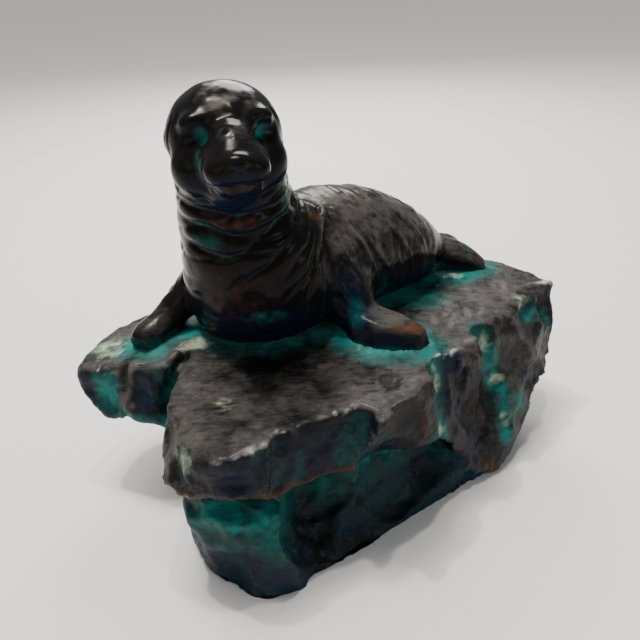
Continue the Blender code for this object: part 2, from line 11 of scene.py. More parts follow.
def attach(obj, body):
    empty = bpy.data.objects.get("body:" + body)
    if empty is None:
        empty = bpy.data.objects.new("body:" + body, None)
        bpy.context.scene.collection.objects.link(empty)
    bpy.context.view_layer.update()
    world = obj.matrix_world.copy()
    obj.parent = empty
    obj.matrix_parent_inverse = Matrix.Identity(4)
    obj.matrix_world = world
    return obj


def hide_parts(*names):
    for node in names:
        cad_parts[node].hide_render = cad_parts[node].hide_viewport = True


bl_info = {
    "name": "Sea Lion Figurine",
    "version": (1, 0, 0),
    "blender": (4, 5, 0),
    "location": "View3D > Sidebar > Figurine",
    "description": "Models a patinated sea lion on a sea rock, with its studio",
    "category": "Add Mesh",
}

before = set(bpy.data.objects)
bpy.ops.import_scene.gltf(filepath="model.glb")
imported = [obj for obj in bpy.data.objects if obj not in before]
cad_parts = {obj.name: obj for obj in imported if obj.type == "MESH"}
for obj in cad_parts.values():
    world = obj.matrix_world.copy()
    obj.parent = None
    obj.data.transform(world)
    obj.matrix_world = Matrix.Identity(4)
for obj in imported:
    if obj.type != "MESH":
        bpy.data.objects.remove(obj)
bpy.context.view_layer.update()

MM = 0.001
CASTING = "sea_lion_on_rock"

# The forms are laid out from a point under the middle of the rock, in millimetres, and the
# casting's box is centred over the origin. This is the step from the one to the other.
TO_CENTRE = np.array([-3.4, -9.6, 0.0])

# Lines on the animal were measured with the rock's top at this height, and rise and fall with it.
MEASURED_TOP = 66.0


# Sizes and colours that a user would change.


def length(name, description, default):
    return bpy.props.FloatProperty(name=name, description=description, default=default, unit="LENGTH")


def colour(name, description, default):
    return bpy.props.FloatVectorProperty(
        name=name, description=description, default=default, subtype="COLOR", min=0.0, max=1.0
    )


class FigurineSizes(bpy.types.PropertyGroup):
    rock_top: length("Rock top", "Height of the ledge that the animal lies on", 0.066)
    slab: length("Slab", "Thickness of the slab that juts out at the front", 0.024)
    foot_shelf: length("Foot shelf", "Height of the shelf in front of the slab's underside", 0.030)
    spur: length("Spur", "Thickness of the spur under the left fore flipper", 0.030)
    chips: length("Chips", "Depth of the chips struck off the rock", 0.0018)
    grit: length("Grit", "Height of the rock's fine breakage", 0.0010)
    fillet: length("Fillet", "How far the stone rises where it meets the animal", 0.0022)
    chest_width: length("Chest width", "Width of the chest", 0.060)
    neck_width: length("Neck width", "Width of the neck under the jaw", 0.040)
    head_width: length("Head width", "Width of the skull", 0.039)
    head_height: length("Head height", "Skull's centre above the rock's top", 0.081)
    trunk_width: length("Trunk width", "Width of the trunk", 0.052)
    trunk_height: length("Trunk height", "Height of the trunk", 0.046)
    fold_depth: length("Fold depth", "Depth of the neck's skin folds", 0.0013)
    wrinkle_depth: length("Wrinkle depth", "Depth of the trunk's wrinkles", 0.0009)
    animal_grain: length("Animal grain", "Mesh size of the animal", 0.00072)
    rock_grain: length("Rock grain", "Mesh size of the rock", 0.00101)


class PatinaColours(bpy.types.PropertyGroup):
    lacquer: colour("Lacquer", "Near-black ground of the casting", (0.0060, 0.0056, 0.0058))
    # Part dust, part painted sheen: upward faces drawn lighter, as if they caught the light.
    worn: colour("Worn grey", "Dusty brown-grey of upward faces", (0.056, 0.051, 0.047))
    turquoise: colour("Turquoise", "Patina in the hollows", (0.000, 0.150, 0.132))
    cream: colour("Verdigris cream", "Palest patina on high spots of the hollows", (0.30, 0.34, 0.24))
    # Painted shade: a dark blue laid on undersides, in the recess and on shadowed faces.
    navy: colour("Deep blue", "Cold tint of the undersides", (0.003, 0.009, 0.026))
    # Part rust, part painted reflection of a wooden table on lower edges and the chest.
    rust: colour("Rust brown", "Warm wash on rims and folds", (0.060, 0.024, 0.012))
    # Part burnished metal, part painted highlight, on rims and proud skin.
    burnish: colour("Burnish", "Bare metal look of rubbed edges", (0.55, 0.53, 0.50))


# Mesh building.


def placed(name, data):
    """A new object that holds the data, in the scene."""
    made = bpy.data.objects.new(name, data)
    bpy.context.scene.collection.objects.link(made)
    return made


def applied(piece, kind, **settings):
    """The piece with one modifier of that kind applied."""
    modifier = piece.modifiers.new(kind.lower(), kind)
    for key, value in settings.items():
        setattr(modifier, key, value)
    graph = bpy.context.evaluated_depsgraph_get()
    mesh = bpy.data.meshes.new_from_object(piece.evaluated_get(graph))
    piece.modifiers.clear()
    piece.data = mesh
    return piece


def facing_out(piece):
    work = bmesh.new()
    work.from_mesh(piece.data)
    bmesh.ops.recalc_face_normals(work, faces=work.faces)
    work.to_mesh(piece.data)
    work.free()
    return piece


def joined(name, pieces):
    work = bmesh.new()
    for piece in pieces:
        work.from_mesh(piece.data)
        bpy.data.objects.remove(piece)
    bmesh.ops.recalc_face_normals(work, faces=work.faces)
    mesh = bpy.data.meshes.new(name)
    work.to_mesh(mesh)
    work.free()
    return placed(name, mesh)


def fused(name, pieces, grain):
    """The closed shapes melted into one skin, by a voxel remesh of that grain in metres."""
    size = grain * 1.0
    return applied(joined(name, pieces), "REMESH", mode="VOXEL", voxel_size=size)


def carved(piece, cutters):
    """The piece with each cutter taken out of it."""
    for cutter in cutters:
        applied(piece, "BOOLEAN", operation="DIFFERENCE", object=cutter)
        bpy.data.objects.remove(cutter)
    return piece


def read(piece):
    """(positions in millimetres, unit normals) of the piece's vertices."""
    count = len(piece.data.vertices)
    places, normals = np.empty(count * 3, np.float32), np.empty(count * 3, np.float32)
    piece.data.vertices.foreach_get("co", places)
    piece.data.vertices.foreach_get("normal", normals)
    return places.reshape(-1, 3).astype(float) / MM, normals.reshape(-1, 3).astype(float)


def write(piece, places):
    piece.data.vertices.foreach_set("co", (places * MM).astype(np.float32).ravel())
    piece.data.update()


def edges_of(piece):
    ends = np.empty(len(piece.data.edges) * 2, np.int32)
    piece.data.edges.foreach_get("vertices", ends)
    return ends.reshape(-1, 2)


def paint(piece, name, values):
    """Keeps one number per vertex as an attribute that the material reads."""
    layer = piece.data.attributes.new(name, "FLOAT", "POINT")
    layer.data.foreach_set("value", np.clip(values, 0.0, 1.0).astype(np.float32))


def relaxed(values, ends, rounds):
    """Each value moved half of the way to the mean of its neighbours, some rounds over."""
    values = np.array(values, float)
    flat = values.ndim == 1
    table = values[:, None] if flat else values
    count = np.maximum(np.bincount(ends.ravel(), minlength=len(table)), 1)[:, None]
    for _ in range(rounds):
        mean = np.stack(
            [
                np.bincount(ends[:, 0], column[ends[:, 1]], len(table))
                + np.bincount(ends[:, 1], column[ends[:, 0]], len(table))
                for column in table.T
            ],
            axis=1,
        )
        table = table + 0.5 * (mean / count - table)
    return table[:, 0] if flat else table


# Shapes.


def catmull_rom(knots, steps):
    """Rows on a smooth curve through the knots, with that many steps between two knots."""
    knots = np.array(knots, float)
    padded = np.vstack([2 * knots[0] - knots[1], knots, 2 * knots[-1] - knots[-2]])
    t = np.linspace(0.0, 1.0, steps, endpoint=False)[:, None]
    rows = []
    for a, b, c, d in zip(padded, padded[1:], padded[2:], padded[3:]):
        bend = 2 * a - 5 * b + 4 * c - d
        rows.append(0.5 * (2 * b + (c - a) * t + bend * t**2 + (3 * b - a - 3 * c + d) * t**3))
    return np.vstack(rows + [knots[-1:]])


def limb(name, stations, up=(0.0, 0.0, 1.0), squareness=2.0):
    """A closed limb carried along a path.

    A station is (x, y, z, half width, half height). Round the path the section is a
    superellipse: cosine and sine of the turn, each raised to 2 / squareness with its sign
    kept, times the half sizes. Along it the stations follow a Catmull-Rom curve.
    """
    table = catmull_rom(stations, 8)
    path = table[:, :3]
    along = np.gradient(path, axis=0)
    along /= np.linalg.norm(along, axis=1, keepdims=True)
    side = np.cross(along, np.array(up, float))
    side /= np.linalg.norm(side, axis=1, keepdims=True)
    rise = np.cross(side, along)
    turn = np.linspace(0.0, 2.0 * np.pi, 48, endpoint=False)
    across = np.sign(np.cos(turn)) * np.abs(np.cos(turn)) ** (2.0 / squareness)
    height = np.sign(np.sin(turn)) * np.abs(np.sin(turn)) ** (2.0 / squareness)
    ring = path[:, None] + (table[:, 3, None] * across)[..., None] * side[:, None]
    ring = ring + (table[:, 4, None] * height)[..., None] * rise[:, None]
    return closed_grid(name, ring)


def closed_grid(name, ring):
    """A tube of quads over a grid of rings, with a fan of triangles at each end."""
    rows, columns = ring.shape[:2]
    number = np.arange(rows * columns).reshape(rows, columns)
    after = np.roll(number, -1, axis=1)
    walls = np.stack([number[:-1], after[:-1], after[1:], number[1:]], axis=-1).reshape(-1, 4)
    points = np.vstack([ring.reshape(-1, 3), ring[0].mean(axis=0), ring[-1].mean(axis=0)])
    first = np.stack([after[0], number[0], np.full(columns, rows * columns)], axis=-1)
    last = np.stack([number[-1], after[-1], np.full(columns, rows * columns + 1)], axis=-1)
    mesh = bpy.data.meshes.new(name)
    mesh.from_pydata((points * MM).tolist(), [], walls.tolist() + first.tolist() + last.tolist())
    return facing_out(placed(name, mesh))


def ball(name, centre, radii, turn=0.0, lean=0.0):
    """An ellipsoid: radii times (sin a cos b, sin a sin b, cos a), leant and turned in degrees."""
    a = np.linspace(0.02, np.pi - 0.02, 28)[:, None]
    b = np.linspace(0.0, 2.0 * np.pi, 48, endpoint=False)[None, :]
    unit = np.stack([np.sin(a) * np.cos(b), np.sin(a) * np.sin(b), np.cos(a) + 0.0 * b], axis=-1)
    spin = Matrix.Rotation(np.radians(turn), 3, "Z") @ Matrix.Rotation(np.radians(lean), 3, "X")
    ring = (unit * np.array(radii, float)) @ np.array(spin).T + np.array(centre, float)
    return closed_grid(name, ring)


def stone(name, corners):
    """A faceted stone: the convex hull of its corners."""
    work = bmesh.new()
    for corner in corners:
        work.verts.new(Vector(corner) * MM)
    hull = bmesh.ops.convex_hull(work, input=work.verts)
    inside = [v for v in hull["geom_interior"] if isinstance(v, bmesh.types.BMVert)]
    bmesh.ops.delete(work, geom=inside, context="VERTS")
    bmesh.ops.recalc_face_normals(work, faces=work.faces)
    mesh = bpy.data.meshes.new(name)
    work.to_mesh(mesh)
    work.free()
    return placed(name, mesh)


# Fields: numbers worked out for whole arrays of positions.


def hashed(corner, seed):
    """A repeatable value from 0 to 1 for each lattice corner."""
    mixed = np.sin(corner @ np.array([127.1, 311.7, 74.7]) + seed * 17.3) * 43758.5453
    return mixed - np.floor(mixed)


def noise(places, cell, seed):
    """Smooth noise from -1 to 1: random values on a lattice, blended between its corners."""
    grid = places / np.array(cell, float)
    base = np.floor(grid)
    share = grid - base
    share = share * share * (3.0 - 2.0 * share)
    total = np.zeros(len(places))
    for dx in (0, 1):
        for dy in (0, 1):
            for dz in (0, 1):
                weight = np.prod(np.where((dx, dy, dz), share, 1.0 - share), axis=1)
                total += weight * (2.0 * hashed(base + (dx, dy, dz), seed) - 1.0)
    return total


def layered(places, cell, seed, octaves=3):
    """Noise at several sizes, each half the size and a little over half the strength."""
    total, strength, size = 0.0, 1.0, np.array(cell, float)
    for octave in range(octaves):
        total = total + strength * noise(places, size, seed + octave)
        strength, size = 0.55 * strength, 0.5 * size
    return total


def near_point(places, centre, radii):
    """1 at the centre, falling smoothly to 0 at the radii."""
    reach = np.sum(((places - np.array(centre, float)) / np.array(radii, float)) ** 2, axis=1)
    return np.clip(1.0 - reach, 0.0, 1.0) ** 2


def gap_to_line(places, knots):
    """Distance from each point to a smooth line through the knots."""
    line = catmull_rom(knots, 6)
    nearest = np.full(len(places), np.inf)
    for start, run in zip(line[:-1], np.diff(line, axis=0)):
        share = np.clip((places - start) @ run / (run @ run), 0.0, 1.0)
        gap = places - start - share[:, None] * run
        nearest = np.minimum(nearest, np.sum(gap * gap, axis=1))
    return np.sqrt(nearest)


def near_line(places, knots, width):
    """1 on a smooth line through the knots, falling as a bell curve of that width."""
    knots = np.array(knots, float)
    lowest, highest = knots.min(axis=0) - 3 * width, knots.max(axis=0) + 3 * width
    inside = np.all((places > lowest) & (places < highest), axis=1)
    strength = np.zeros(len(places))
    strength[inside] = np.exp(-((gap_to_line(places[inside], knots) / width) ** 2))
    return strength


def tapered(places, knots, width):
    """As near_line, but fading out towards the line's two ends."""
    knots = np.array(knots, float)
    half = 0.5 * np.linalg.norm(knots[-1] - knots[0])
    reach = np.linalg.norm(places - knots.mean(axis=0), axis=1) / half
    return near_line(places, knots, width) * np.clip(1.3 * (1.0 - reach**2), 0.0, 1.0)


def lines(places, rows):
    """Several smooth lines added up, each (strength, width, knots)."""
    return sum(strength * near_line(places, knots, width) for strength, width, knots in rows)


def spots(places, rows):
    """The strongest of several soft spots, each (x, y, z, radius x, radius y, radius z, strength)."""
    total = np.zeros(len(places))
    for x, y, z, rx, ry, rz, strength in rows:
        total = np.maximum(total, strength * near_point(places, (x, y, z), (rx, ry, rz)))
    return total


def ramp(values, low, high):
    """0 below low, 1 above high, smooth between."""
    share = np.clip((values - low) / (high - low), 0.0, 1.0)
    return share * share * (3.0 - 2.0 * share)


def raised(rows, level):
    """The rows (x, y, z, ...) with their heights counted from that level."""
    return [(x, y, level + z, *rest) for x, y, z, *rest in rows]


def nearest_gap(places, others):
    """Distance from each place to the nearest of the others, a block of places at a time."""
    others = others.astype(np.float32)
    square = np.sum(others * others, axis=1)
    gaps = []
    for block in np.array_split(places.astype(np.float32), max(1, len(places) // 2000)):
        far = np.sum(block * block, axis=1)[:, None] + square - 2.0 * block @ others.T
        gaps.append(np.sqrt(np.maximum(far.min(axis=1), 0.0)))
    return np.concatenate(gaps)


# The rock.


def rock_stones(sizes):
    """The stones that make up the outcrop, before they are fused."""
    top = sizes.rock_top / MM
    ledge = top - sizes.slab / MM
    return [
        foot_front(sizes.foot_shelf / MM),
        foot_core(ledge),
        front_slab(top, ledge),
        hanging_tooth(ledge),
        right_flank(top),
        left_spur(top, sizes.spur / MM),
        back_stone(top),
    ]


def rock_cutters(sizes):
    """What has broken out of the outcrop: the front recess, scoops, and the flutes of the flank."""
    top = sizes.rock_top / MM
    ledge = top - sizes.slab / MM
    return [
        front_recess(top, ledge),
        front_bite(top, ledge),
        *face_scoops(top, ledge),
        *flank_flutes(top),
        spur_scoop(top),
    ]


def on_table(outline):
    """The outline at the table's level, and again below it for the stone that is ground away."""
    return [(x, y, z) for x, y in outline for z in (0.0, -5.0)]


def foot_front(shelf):
    """The pillar at the front left, whose top shows as a shelf under the slab."""
    table = [(-54, -40), (-44, -57), (-28, -70), (-23, -71), (-9, -67), (0, -20), (-40, -10)]
    crown = [(-53, -50, 0), (-50, -60, -1), (-38, -66, 0), (-12, -72, 0), (-8, -68, 0)]
    root = [(-6, -52, 10), (0, -20, 14), (-45, -15, 14)]
    return stone("foot_front", on_table(table) + raised(crown + root, shelf))


def foot_core(ledge):
    """The broad foot behind the pillar, which carries the slab and the flank."""
    table = [(-56, -20), (-30, -54), (-8, -62), (7, -54), (25, -41), (39, -27), (53, -20)]
    table += [(70, -10), (76, 10), (62, 45), (15, 66), (-30, 60), (-56, 25)]
    crown = [(-50, -18), (-25, -44), (-2, -43), (22, -36), (42, -26), (60, -8)]
    crown += [(72, 40), (20, 66), (-35, 60), (-58, 28)]
    return stone("foot_core", on_table(table) + [(x, y, ledge + 3) for x, y in crown])


def front_slab(top, ledge):
    """The slab that juts out over the foot, thick at the left and thinning to the right."""
    crown = [(-47, -57, -3), (-36, -70, -4), (-26, -70, -3), (26, -53, -2), (36, -38, -1), (42, -20, 0)]
    crown += [(52, 0, 1), (30, 50, 1), (-20, 40, 2), (-49, 0, 1), (-55, -36, -1)]
    keel = [(-58, -59, 3), (-48, -65, 2), (-33, -69, 2), (-19, -68, 2), (-14, -64, 1), (12, -53, -1)]
    keel += [(27, -48, -4), (38, -42, -8), (50, -33, -17), (52, 20, -2), (-20, 40, 0), (-52, 0, 2)]
    return stone("front_slab", raised(crown, top) + raised(keel, ledge))


def front_recess(top, ledge):
    """What broke off the slab's front: the rim runs back behind the line of the two corners."""
    rim = [(-18.5, -63), (-17.5, -58), (-7, -53.3), (12, -44.5), (19, -48)]
    low = [(-18, -66), (-3, -58), (13, -51.5)]
    corners = [(x, y, top + 4) for x, y in rim] + [(x, y, ledge + 2.5) for x, y in low]
    corners += [(x, -95, z) for x in (-18.5, 22) for z in (top + 4, ledge + 2.5)]
    return stone("front_recess", corners)


def front_bite(top, ledge):
    """The glossy hollow at the slab's left corner, which opens through its top edge."""
    rim = [(-34, -73), (-29, -67.5), (-24, -65), (-18.5, -61.5)]
    low = [(-33, -75), (-26, -71), (-18, -69)]
    corners = [(x, y, top + 4) for x, y in rim] + [(x, y, ledge + 5) for x, y in low]
    corners += [(x, -95, z) for x in (-34, -18) for z in (top + 4, ledge + 5)]
    return stone("front_bite", corners)


def spur_scoop(top):
    """The hollow on the spur's front, under its rim."""
    return ball("spur_scoop", (-91, -19, top - 19), (16, 12, 15), -20)


def face_scoops(top, ledge):
    """The dark hollow in the slab's face, and the one on its left corner."""
    middle = 0.5 * (top + ledge)
    dark = ball("dark_scoop", (-30, -76, middle - 2), (13, 8.5, 7), 12)
    corner = ball("corner_scoop", (-53, -68, middle), (6, 8.5, 9), -35)
    return [dark, corner]


def hanging_tooth(ledge):
    """The small wedge that hangs from the slab's underside at the foot's corner."""
    upper = [(-22, -67), (-11, -64), (-8, -54), (-22, -54)]
    tip = [(-15, -68, -8), (-11.5, -66, -11), (-9, -58, -8)]
    return stone("hanging_tooth", [(x, y, ledge + 3) for x, y in upper] + raised(tip, ledge))


def right_flank(top):
    """The right side: its crown is laid out from the rock's top, and its keel from the table."""
    crown = [(38, -36, -2), (44, -21, -1), (54, -15, -1), (63, 0, 0), (73, 8, 0), (83, 24, -1), (94, 36, -1)]
    crown += [(108, 44, -3), (99, 57, -2), (86, 69, -1), (50, 80, 0), (10, 78, 0), (-10, 20, 0)]
    keel = [(50, -33, 22), (63, -22, 12), (74, -12, 0), (79, -7, 2), (86, -1, 8), (92, 8, 12), (99, 16, 20)]
    keel += [(105, 24, 30), (108, 32, 42), (100, 50, 35), (80, 68, 20), (50, 76, 10), (0, 60, 10), (0, 0, 10)]
    return stone("right_flank", raised(crown, top) + keel)


def flank_flutes(top):
    """The right flank's two long flutes, the room beside the first, and two scoops near its tip."""
    first = [(45.5, -26, 4, 8, 7), (48.5, -28, -8, 9.5, 9), (51, -31.5, -20, 10, 8.5)]
    first += [(52.5, -33, -31, 9, 7), (54, -34, -37, 6, 4)]
    second = [(66, -2, 4, 5, 7), (69.5, -4.5, -10, 6, 8), (74, -8.5, -30, 6, 8), (78, -13.5, -52, 5, 6)]
    widening = [(54.5, -19.5, -8, 5, 7), (58, -20.5, -20, 7, 8)]
    widening += [(61.5, -22.5, -32, 7.5, 8), (64.5, -24.5, -44, 6, 7)]
    flutes = [
        limb(name, raised(rows, top), up=(0.75, -0.65, 0.0))
        for name, rows in (("first_flute", first), ("widening", widening), ("second_flute", second))
    ]
    tip_scoop = ball("tip_scoop", (105, 31, top - 9), (9, 8, 10))
    tip_notch = ball("tip_notch", (93.5, 21, top - 4), (9.5, 7, 7.5), 40)
    return flutes + [tip_scoop, tip_notch]


def left_spur(top, thick):
    """The spur under the left fore flipper; its underside drops as it gets thicker than 30 mm."""
    crown = [(-72, 38, -4), (-87, 25, -5), (-92, 17, -7), (-98, 4, -8), (-98, -5, -9), (-76, -8, -6)]
    crown += [(-62, -14, -3), (-50, -5, 0), (-45, 25, 1)]
    keel = [(-101, 0, -15), (-96, -11, -23), (-90, -13, -29), (-79, -18, -31), (-71, -21, -32)]
    keel += [(-60, -18, -35), (-56, 30, -38), (-88, 22, -28), (-97, 12, -20)]
    return stone("left_spur", raised(crown, top) + raised(keel, top + 30 - thick))


def back_stone(top):
    """The back of the outcrop, under the animal's trunk."""
    crown = [(-66, 34, -4), (-48, 58, -6), (-10, 82, -4), (30, 92, -3), (62, 84, -3), (84, 66, -2), (0, 0, 0)]
    keel = [(-58, 30, 20), (-40, 52, 8), (-8, 72, 4), (28, 80, 6), (56, 74, 14), (74, 58, 24), (0, 0, 10)]
    return stone("back_stone", raised(crown, top) + keel)


def apron(top):
    """The low mound that the chest and the right flipper rest on."""
    return ball("apron", (-12, 12, top - 4), (42, 25, 9), -12)


# Lines on the rock; a row is (strength, width, knots). The ridges of the ledge and the spur and the
# lips of the hollows count z from the rock's top, and the others count it from the table.
LEDGE_RIDGE = [(-58, -9, 0), (-53, -4, 0), (-46, 0, 0), (-38, 2.6, 0)]
LEDGE_RIDGE += [(-30, 2.6, 0), (-19, 0.5, 0), (-6, -2.5, 0)]
SPUR_RIDGE = [(-73, -10, -4), (-75, -13, -11), (-78, -15, -17), (-86, -14, -24)]
HOLLOW_LIPS = (
    (1.3, 1.8, [(42, -22, -1), (47, -18, -0.5), (53, -14, -1)]),
    (1.3, 1.6, [(59, -9, -1), (64, -3, -0.5), (69, 2, -0.5)]),
    (1.3, 2.0, [(96, 38, -1.5), (102, 41, -2), (107, 44, -4)]),
)
BLOCK_GROOVES = (
    (-1.1, 1.3, [(24, -47, 60), (27, -45.5, 50), (29, -45, 42)]),
    (-1.1, 1.3, [(31, -42, 60), (33.5, -41, 50), (35.5, -40, 42)]),
)
FLANK_RIB = (1.2, 2.2, [(59, -11, 59), (64, -12, 44), (69, -15, 28), (73, -18, 14)])
PLATE_RIDGE = (0.9, 1.8, [(80, 12, 60), (88, 12, 50), (94, 14, 40)])

# How high the slab's lower lip stands at each x: it runs down to the table at the right.
LIP = ((-60, 45), (-33, 44), (-14, 43), (12, 41), (27, 38), (38, 34), (50, 24), (63, 12), (74, 1), (90, 0))

# Chips struck off the rock: how many are tried, how far from the stone one misses it, and the
# smallest and largest ball that bites.
CHIP_SEED = 5
CHIP_TRIES = 900
CHIP_MISSES = 20.0
CHIP_RADII = (10.0, 44.0)


def struck(places, normals, bite, free):
    """The stone with chips struck off it, more often where it is free and steep.

    Each chip is a ball that bites in from outside by a small depth: a point inside the ball
    moves straight away from its centre, out to its surface. Big balls leave flat facets on the
    stone's edges, and small ones leave hollows with a crisp rim.
    """
    pick = np.random.default_rng(CHIP_SEED)
    low, high = places.min(axis=0), places.max(axis=0)
    smallest, largest = CHIP_RADII
    tried = low + pick.random((CHIP_TRIES, 3)) * (high - low)
    draws = pick.random((CHIP_TRIES, 3))
    tilts = pick.normal(0.0, 0.15, (CHIP_TRIES, 3))
    for spot, (luck, size, deep), tilt in zip(tried, draws, tilts):
        gaps = np.sum((places - spot) ** 2, axis=1)
        start = int(np.argmin(gaps))
        steep = 1.0 - max(normals[start, 2], 0.0) ** 2
        if gaps[start] > CHIP_MISSES**2 or luck > free[start] * (0.12 + 0.88 * steep):
            continue
        radius = smallest + (largest - smallest) * size
        depth = bite * (0.35 + 0.8 * deep) * (0.35 + 0.65 * steep)
        away = normals[start] + tilt
        away /= np.linalg.norm(away)
        centre = places[start] + away * (radius - depth)
        reach = 1.5 * np.sqrt(2.0 * radius * depth) + 1.5
        near = np.flatnonzero(np.sum((places - places[start]) ** 2, axis=1) < reach * reach)
        gap = places[near] - centre
        far = np.linalg.norm(gap, axis=1)
        bitten = np.clip(radius - far, 0.0, 1.8 * depth)
        places[near] += gap * (bitten / far)[:, None]
    return places


def rock_relief(places, normals, sizes):
    """How far each point of the rock stands out: broken grit, and ragged ribs on steep faces."""
    grit = sizes.grit / MM
    steep = 1.0 - np.clip(normals[:, 2], 0.0, 1.0)
    swell = layered(places, (16.0, 16.0, 10.0), 17, 2)
    rough = ramp(noise(places, 14.0, 19), -0.35, 0.45)
    cracked = 0.4 - np.abs(layered(places, (6.0, 6.0, 5.0), 21, 3))
    ribs = 0.35 - np.abs(layered(places, (3.6, 3.6, 15.0), 31, 2))
    fine = layered(places, 2.4, 27, 2)
    height = 0.7 * grit * swell + grit * cracked * rough * (0.35 + 0.55 * steep)
    return height + 0.6 * grit * ribs * rough * steep**2 + 0.22 * grit * fine


def rock_lines(places, top):
    """How far the rock's own lines stand out: lips over the hollows, ridges, a rib, two grooves."""
    ledge = [(strength, width, raised(knots, top)) for strength, width, knots in HOLLOW_LIPS]
    ledge += [(1.2, 2.0, raised(SPUR_RIDGE, top)), (1.3, 2.6, raised(LEDGE_RIDGE, top))]
    return lines(places, [*ledge, FLANK_RIB, PLATE_RIDGE, *BLOCK_GROOVES])


# The animal.


def animal_forms(sizes):
    top = sizes.rock_top / MM
    forms = [chest_and_neck(sizes, top), trunk(sizes, top), *head(sizes)]
    return forms + [*fore_flippers(top), *hind_flippers(top)]


def chest_and_neck(sizes, top):
    chest, neck = 0.5 * sizes.chest_width / MM, 0.5 * sizes.neck_width / MM
    rows = [
        (-18, 18, -6, 0.65 * chest, 12),
        (-19, 15, 3, 0.88 * chest, 17),
        (-21, 11, 13, 1.02 * chest, 23),
        (-22, 6, 26, 1.00 * chest, 25.5),
        (-25, 4, 38, 0.92 * chest, 25.5),
        (-28, 3, 49, 1.15 * neck, 24.5),
        (-29, 1, 59, 1.02 * neck, 22.8),
        (-29, -2, 70, 0.98 * neck, 21),
        (-29, -3.5, 80, 0.94 * neck, 19),
    ]
    return limb("chest_and_neck", raised(rows, top), up=(0, -1, 0))


def trunk(sizes, top):
    wide, high = 0.5 * sizes.trunk_width / MM, 0.5 * sizes.trunk_height / MM
    rows = [
        (-22, 6, 25, 0.90 * wide, 1.00 * high),
        (-6, 19, 26, 1.04 * wide, 1.12 * high),
        (10, 32, 24.5, 1.06 * wide, 1.12 * high),
        (24, 44, 20, 1.02 * wide, 1.00 * high),
        (36, 54, 14.5, 0.92 * wide, 0.80 * high),
        (46, 61, 9, 0.74 * wide, 0.60 * high),
        (54, 65, 4, 0.50 * wide, 0.40 * high),
    ]
    return limb("trunk", raised(rows, top))


HEAD_TURN = 13.0


def on_head(sizes, side, forward, up):
    """A point from the skull's centre: to the animal's left, out along the face, and up."""
    turn = np.radians(HEAD_TURN)
    x = -29.5 + side * np.cos(turn) + forward * np.sin(turn)
    y = -4.0 + side * np.sin(turn) - forward * np.cos(turn)
    return np.array([x, y, (sizes.rock_top + sizes.head_height) / MM + up])


def head(sizes):
    half = 0.5 * sizes.head_width / MM
    snout = [(0, 2, -1, 0.84 * half, 15), (0, 10, -1.5, 0.76 * half, 13.4), (0, 17, -2.5, 0.64 * half, 11.2)]
    snout += [(0, 23, -3.2, 0.53 * half, 9.0), (0, 28, -3.4, 0.42 * half, 7.0)]
    rows = [(*on_head(sizes, side, out, up), wide, tall) for side, out, up, wide, tall in snout]
    balls = (
        ("skull", 0, 0, 0, half, half + 1.5, half - 1.5),
        ("bridge", 0, 16, 3.4, 6.8, 13.0, 6.2),
        ("muzzle", 0, 23.5, -2.9, 10.2, 12.0, 8.7),
        ("nose", 0, 34.0, -0.4, 5.1, 3.4, 3.3),
        ("left_pad", 4.5, 29.0, -3.3, 6.2, 6.9, 5.3),
        ("right_pad", -4.5, 29.0, -3.3, 6.2, 6.9, 5.3),
        ("chin", 0, 25.0, -8.8, 7.4, 8.5, 4.2),
        ("jaw", 0, 12.0, -12.0, 11.0, 14.0, 8.0),
        ("left_cheek", 0.52 * half, 0.50 * half, -7, 9.3, 10, 10),
        ("right_cheek", -0.52 * half, 0.50 * half, -7, 9.3, 10, 10),
        ("left_brow", 0.46 * half, 0.62 * half, 7.6, 6.4, 5.2, 3.8),
        ("right_brow", -0.46 * half, 0.62 * half, 7.6, 6.4, 5.2, 3.8),
        ("left_ear", half - 0.9, -4, -1, 1.7, 3.0, 4.4),
        ("right_ear", -half + 0.9, -4, -1, 1.7, 3.0, 4.4),
    )
    forms = [limb("snout", rows, squareness=2.3)]
    for name, side, out, up, *radii in balls:
        forms.append(ball(name, on_head(sizes, side, out, up), radii, HEAD_TURN))
    return forms


def fore_flippers(top):
    right = [(0, 12, 34, 11, 12), (8, 8, 24, 12, 12), (12, 3, 14, 10.5, 10), (14, -2, 7, 8.5, 7)]
    back = [(8, 7, 13), (24, 1, 12), (34, -7, 11), (40, -13, 9), (37, -17, 8), (20, -13, 11), (11, -6, 13)]
    palm = [(5, 4), (12, -12), (23, -18), (38, -18), (43, -13), (36, 1), (20, 10)]
    hand = stone("right_hand", raised(back + [(x, y, -3) for x, y in palm], top))
    left = [
        (-36, 14, 28, 10, 11),
        (-47, 18, 18, 9.5, 10),
        (-56, 15, 10, 8, 7.5),
        (-63, 9, 4, 7, 6.3),
        (-69, 3, 1, 7.0, 6.3),
        (-72, -2, -1, 5.6, 5.0),
    ]
    return [limb("right_arm", raised(right, top)), hand, limb("left_arm", raised(left, top))]


def hind_flippers(top):
    """The hind flippers, folded together behind the hips, and the tail between them."""
    near = [(44, 57, 8, 9, 9), (54, 57, 7.5, 8, 8.5), (63, 57, 6.5, 7.5, 8)]
    near += [(71, 57, 3.5, 7, 6), (78, 56, 0, 5.5, 3.6)]
    far = [(44, 64, 9, 8, 8), (54, 70, 6, 6.5, 7), (63, 76, 3, 6, 5), (71, 81, 0, 4.5, 3)]
    fold = [(52, 62, 9, 5, 6), (60, 63, 9.5, 5, 6), (66, 65, 6, 4, 5), (71, 68, 2, 3, 3.5)]
    names = ("near_hind", "far_hind", "hind_fold")
    return [limb(name, raised(rows, top)) for name, rows in zip(names, (near, far, fold))]


BODY_AXIS = [(-28, -3, 84), (-28, -2, 72), (-28, 0, 60), (-26, 3, 48), (-21, 8, 37), (-12, 16, 30)]
BODY_AXIS += [(0, 25, 26), (12, 34, 24), (25, 45, 20), (37, 55, 14), (48, 63, 8), (58, 68, 4)]


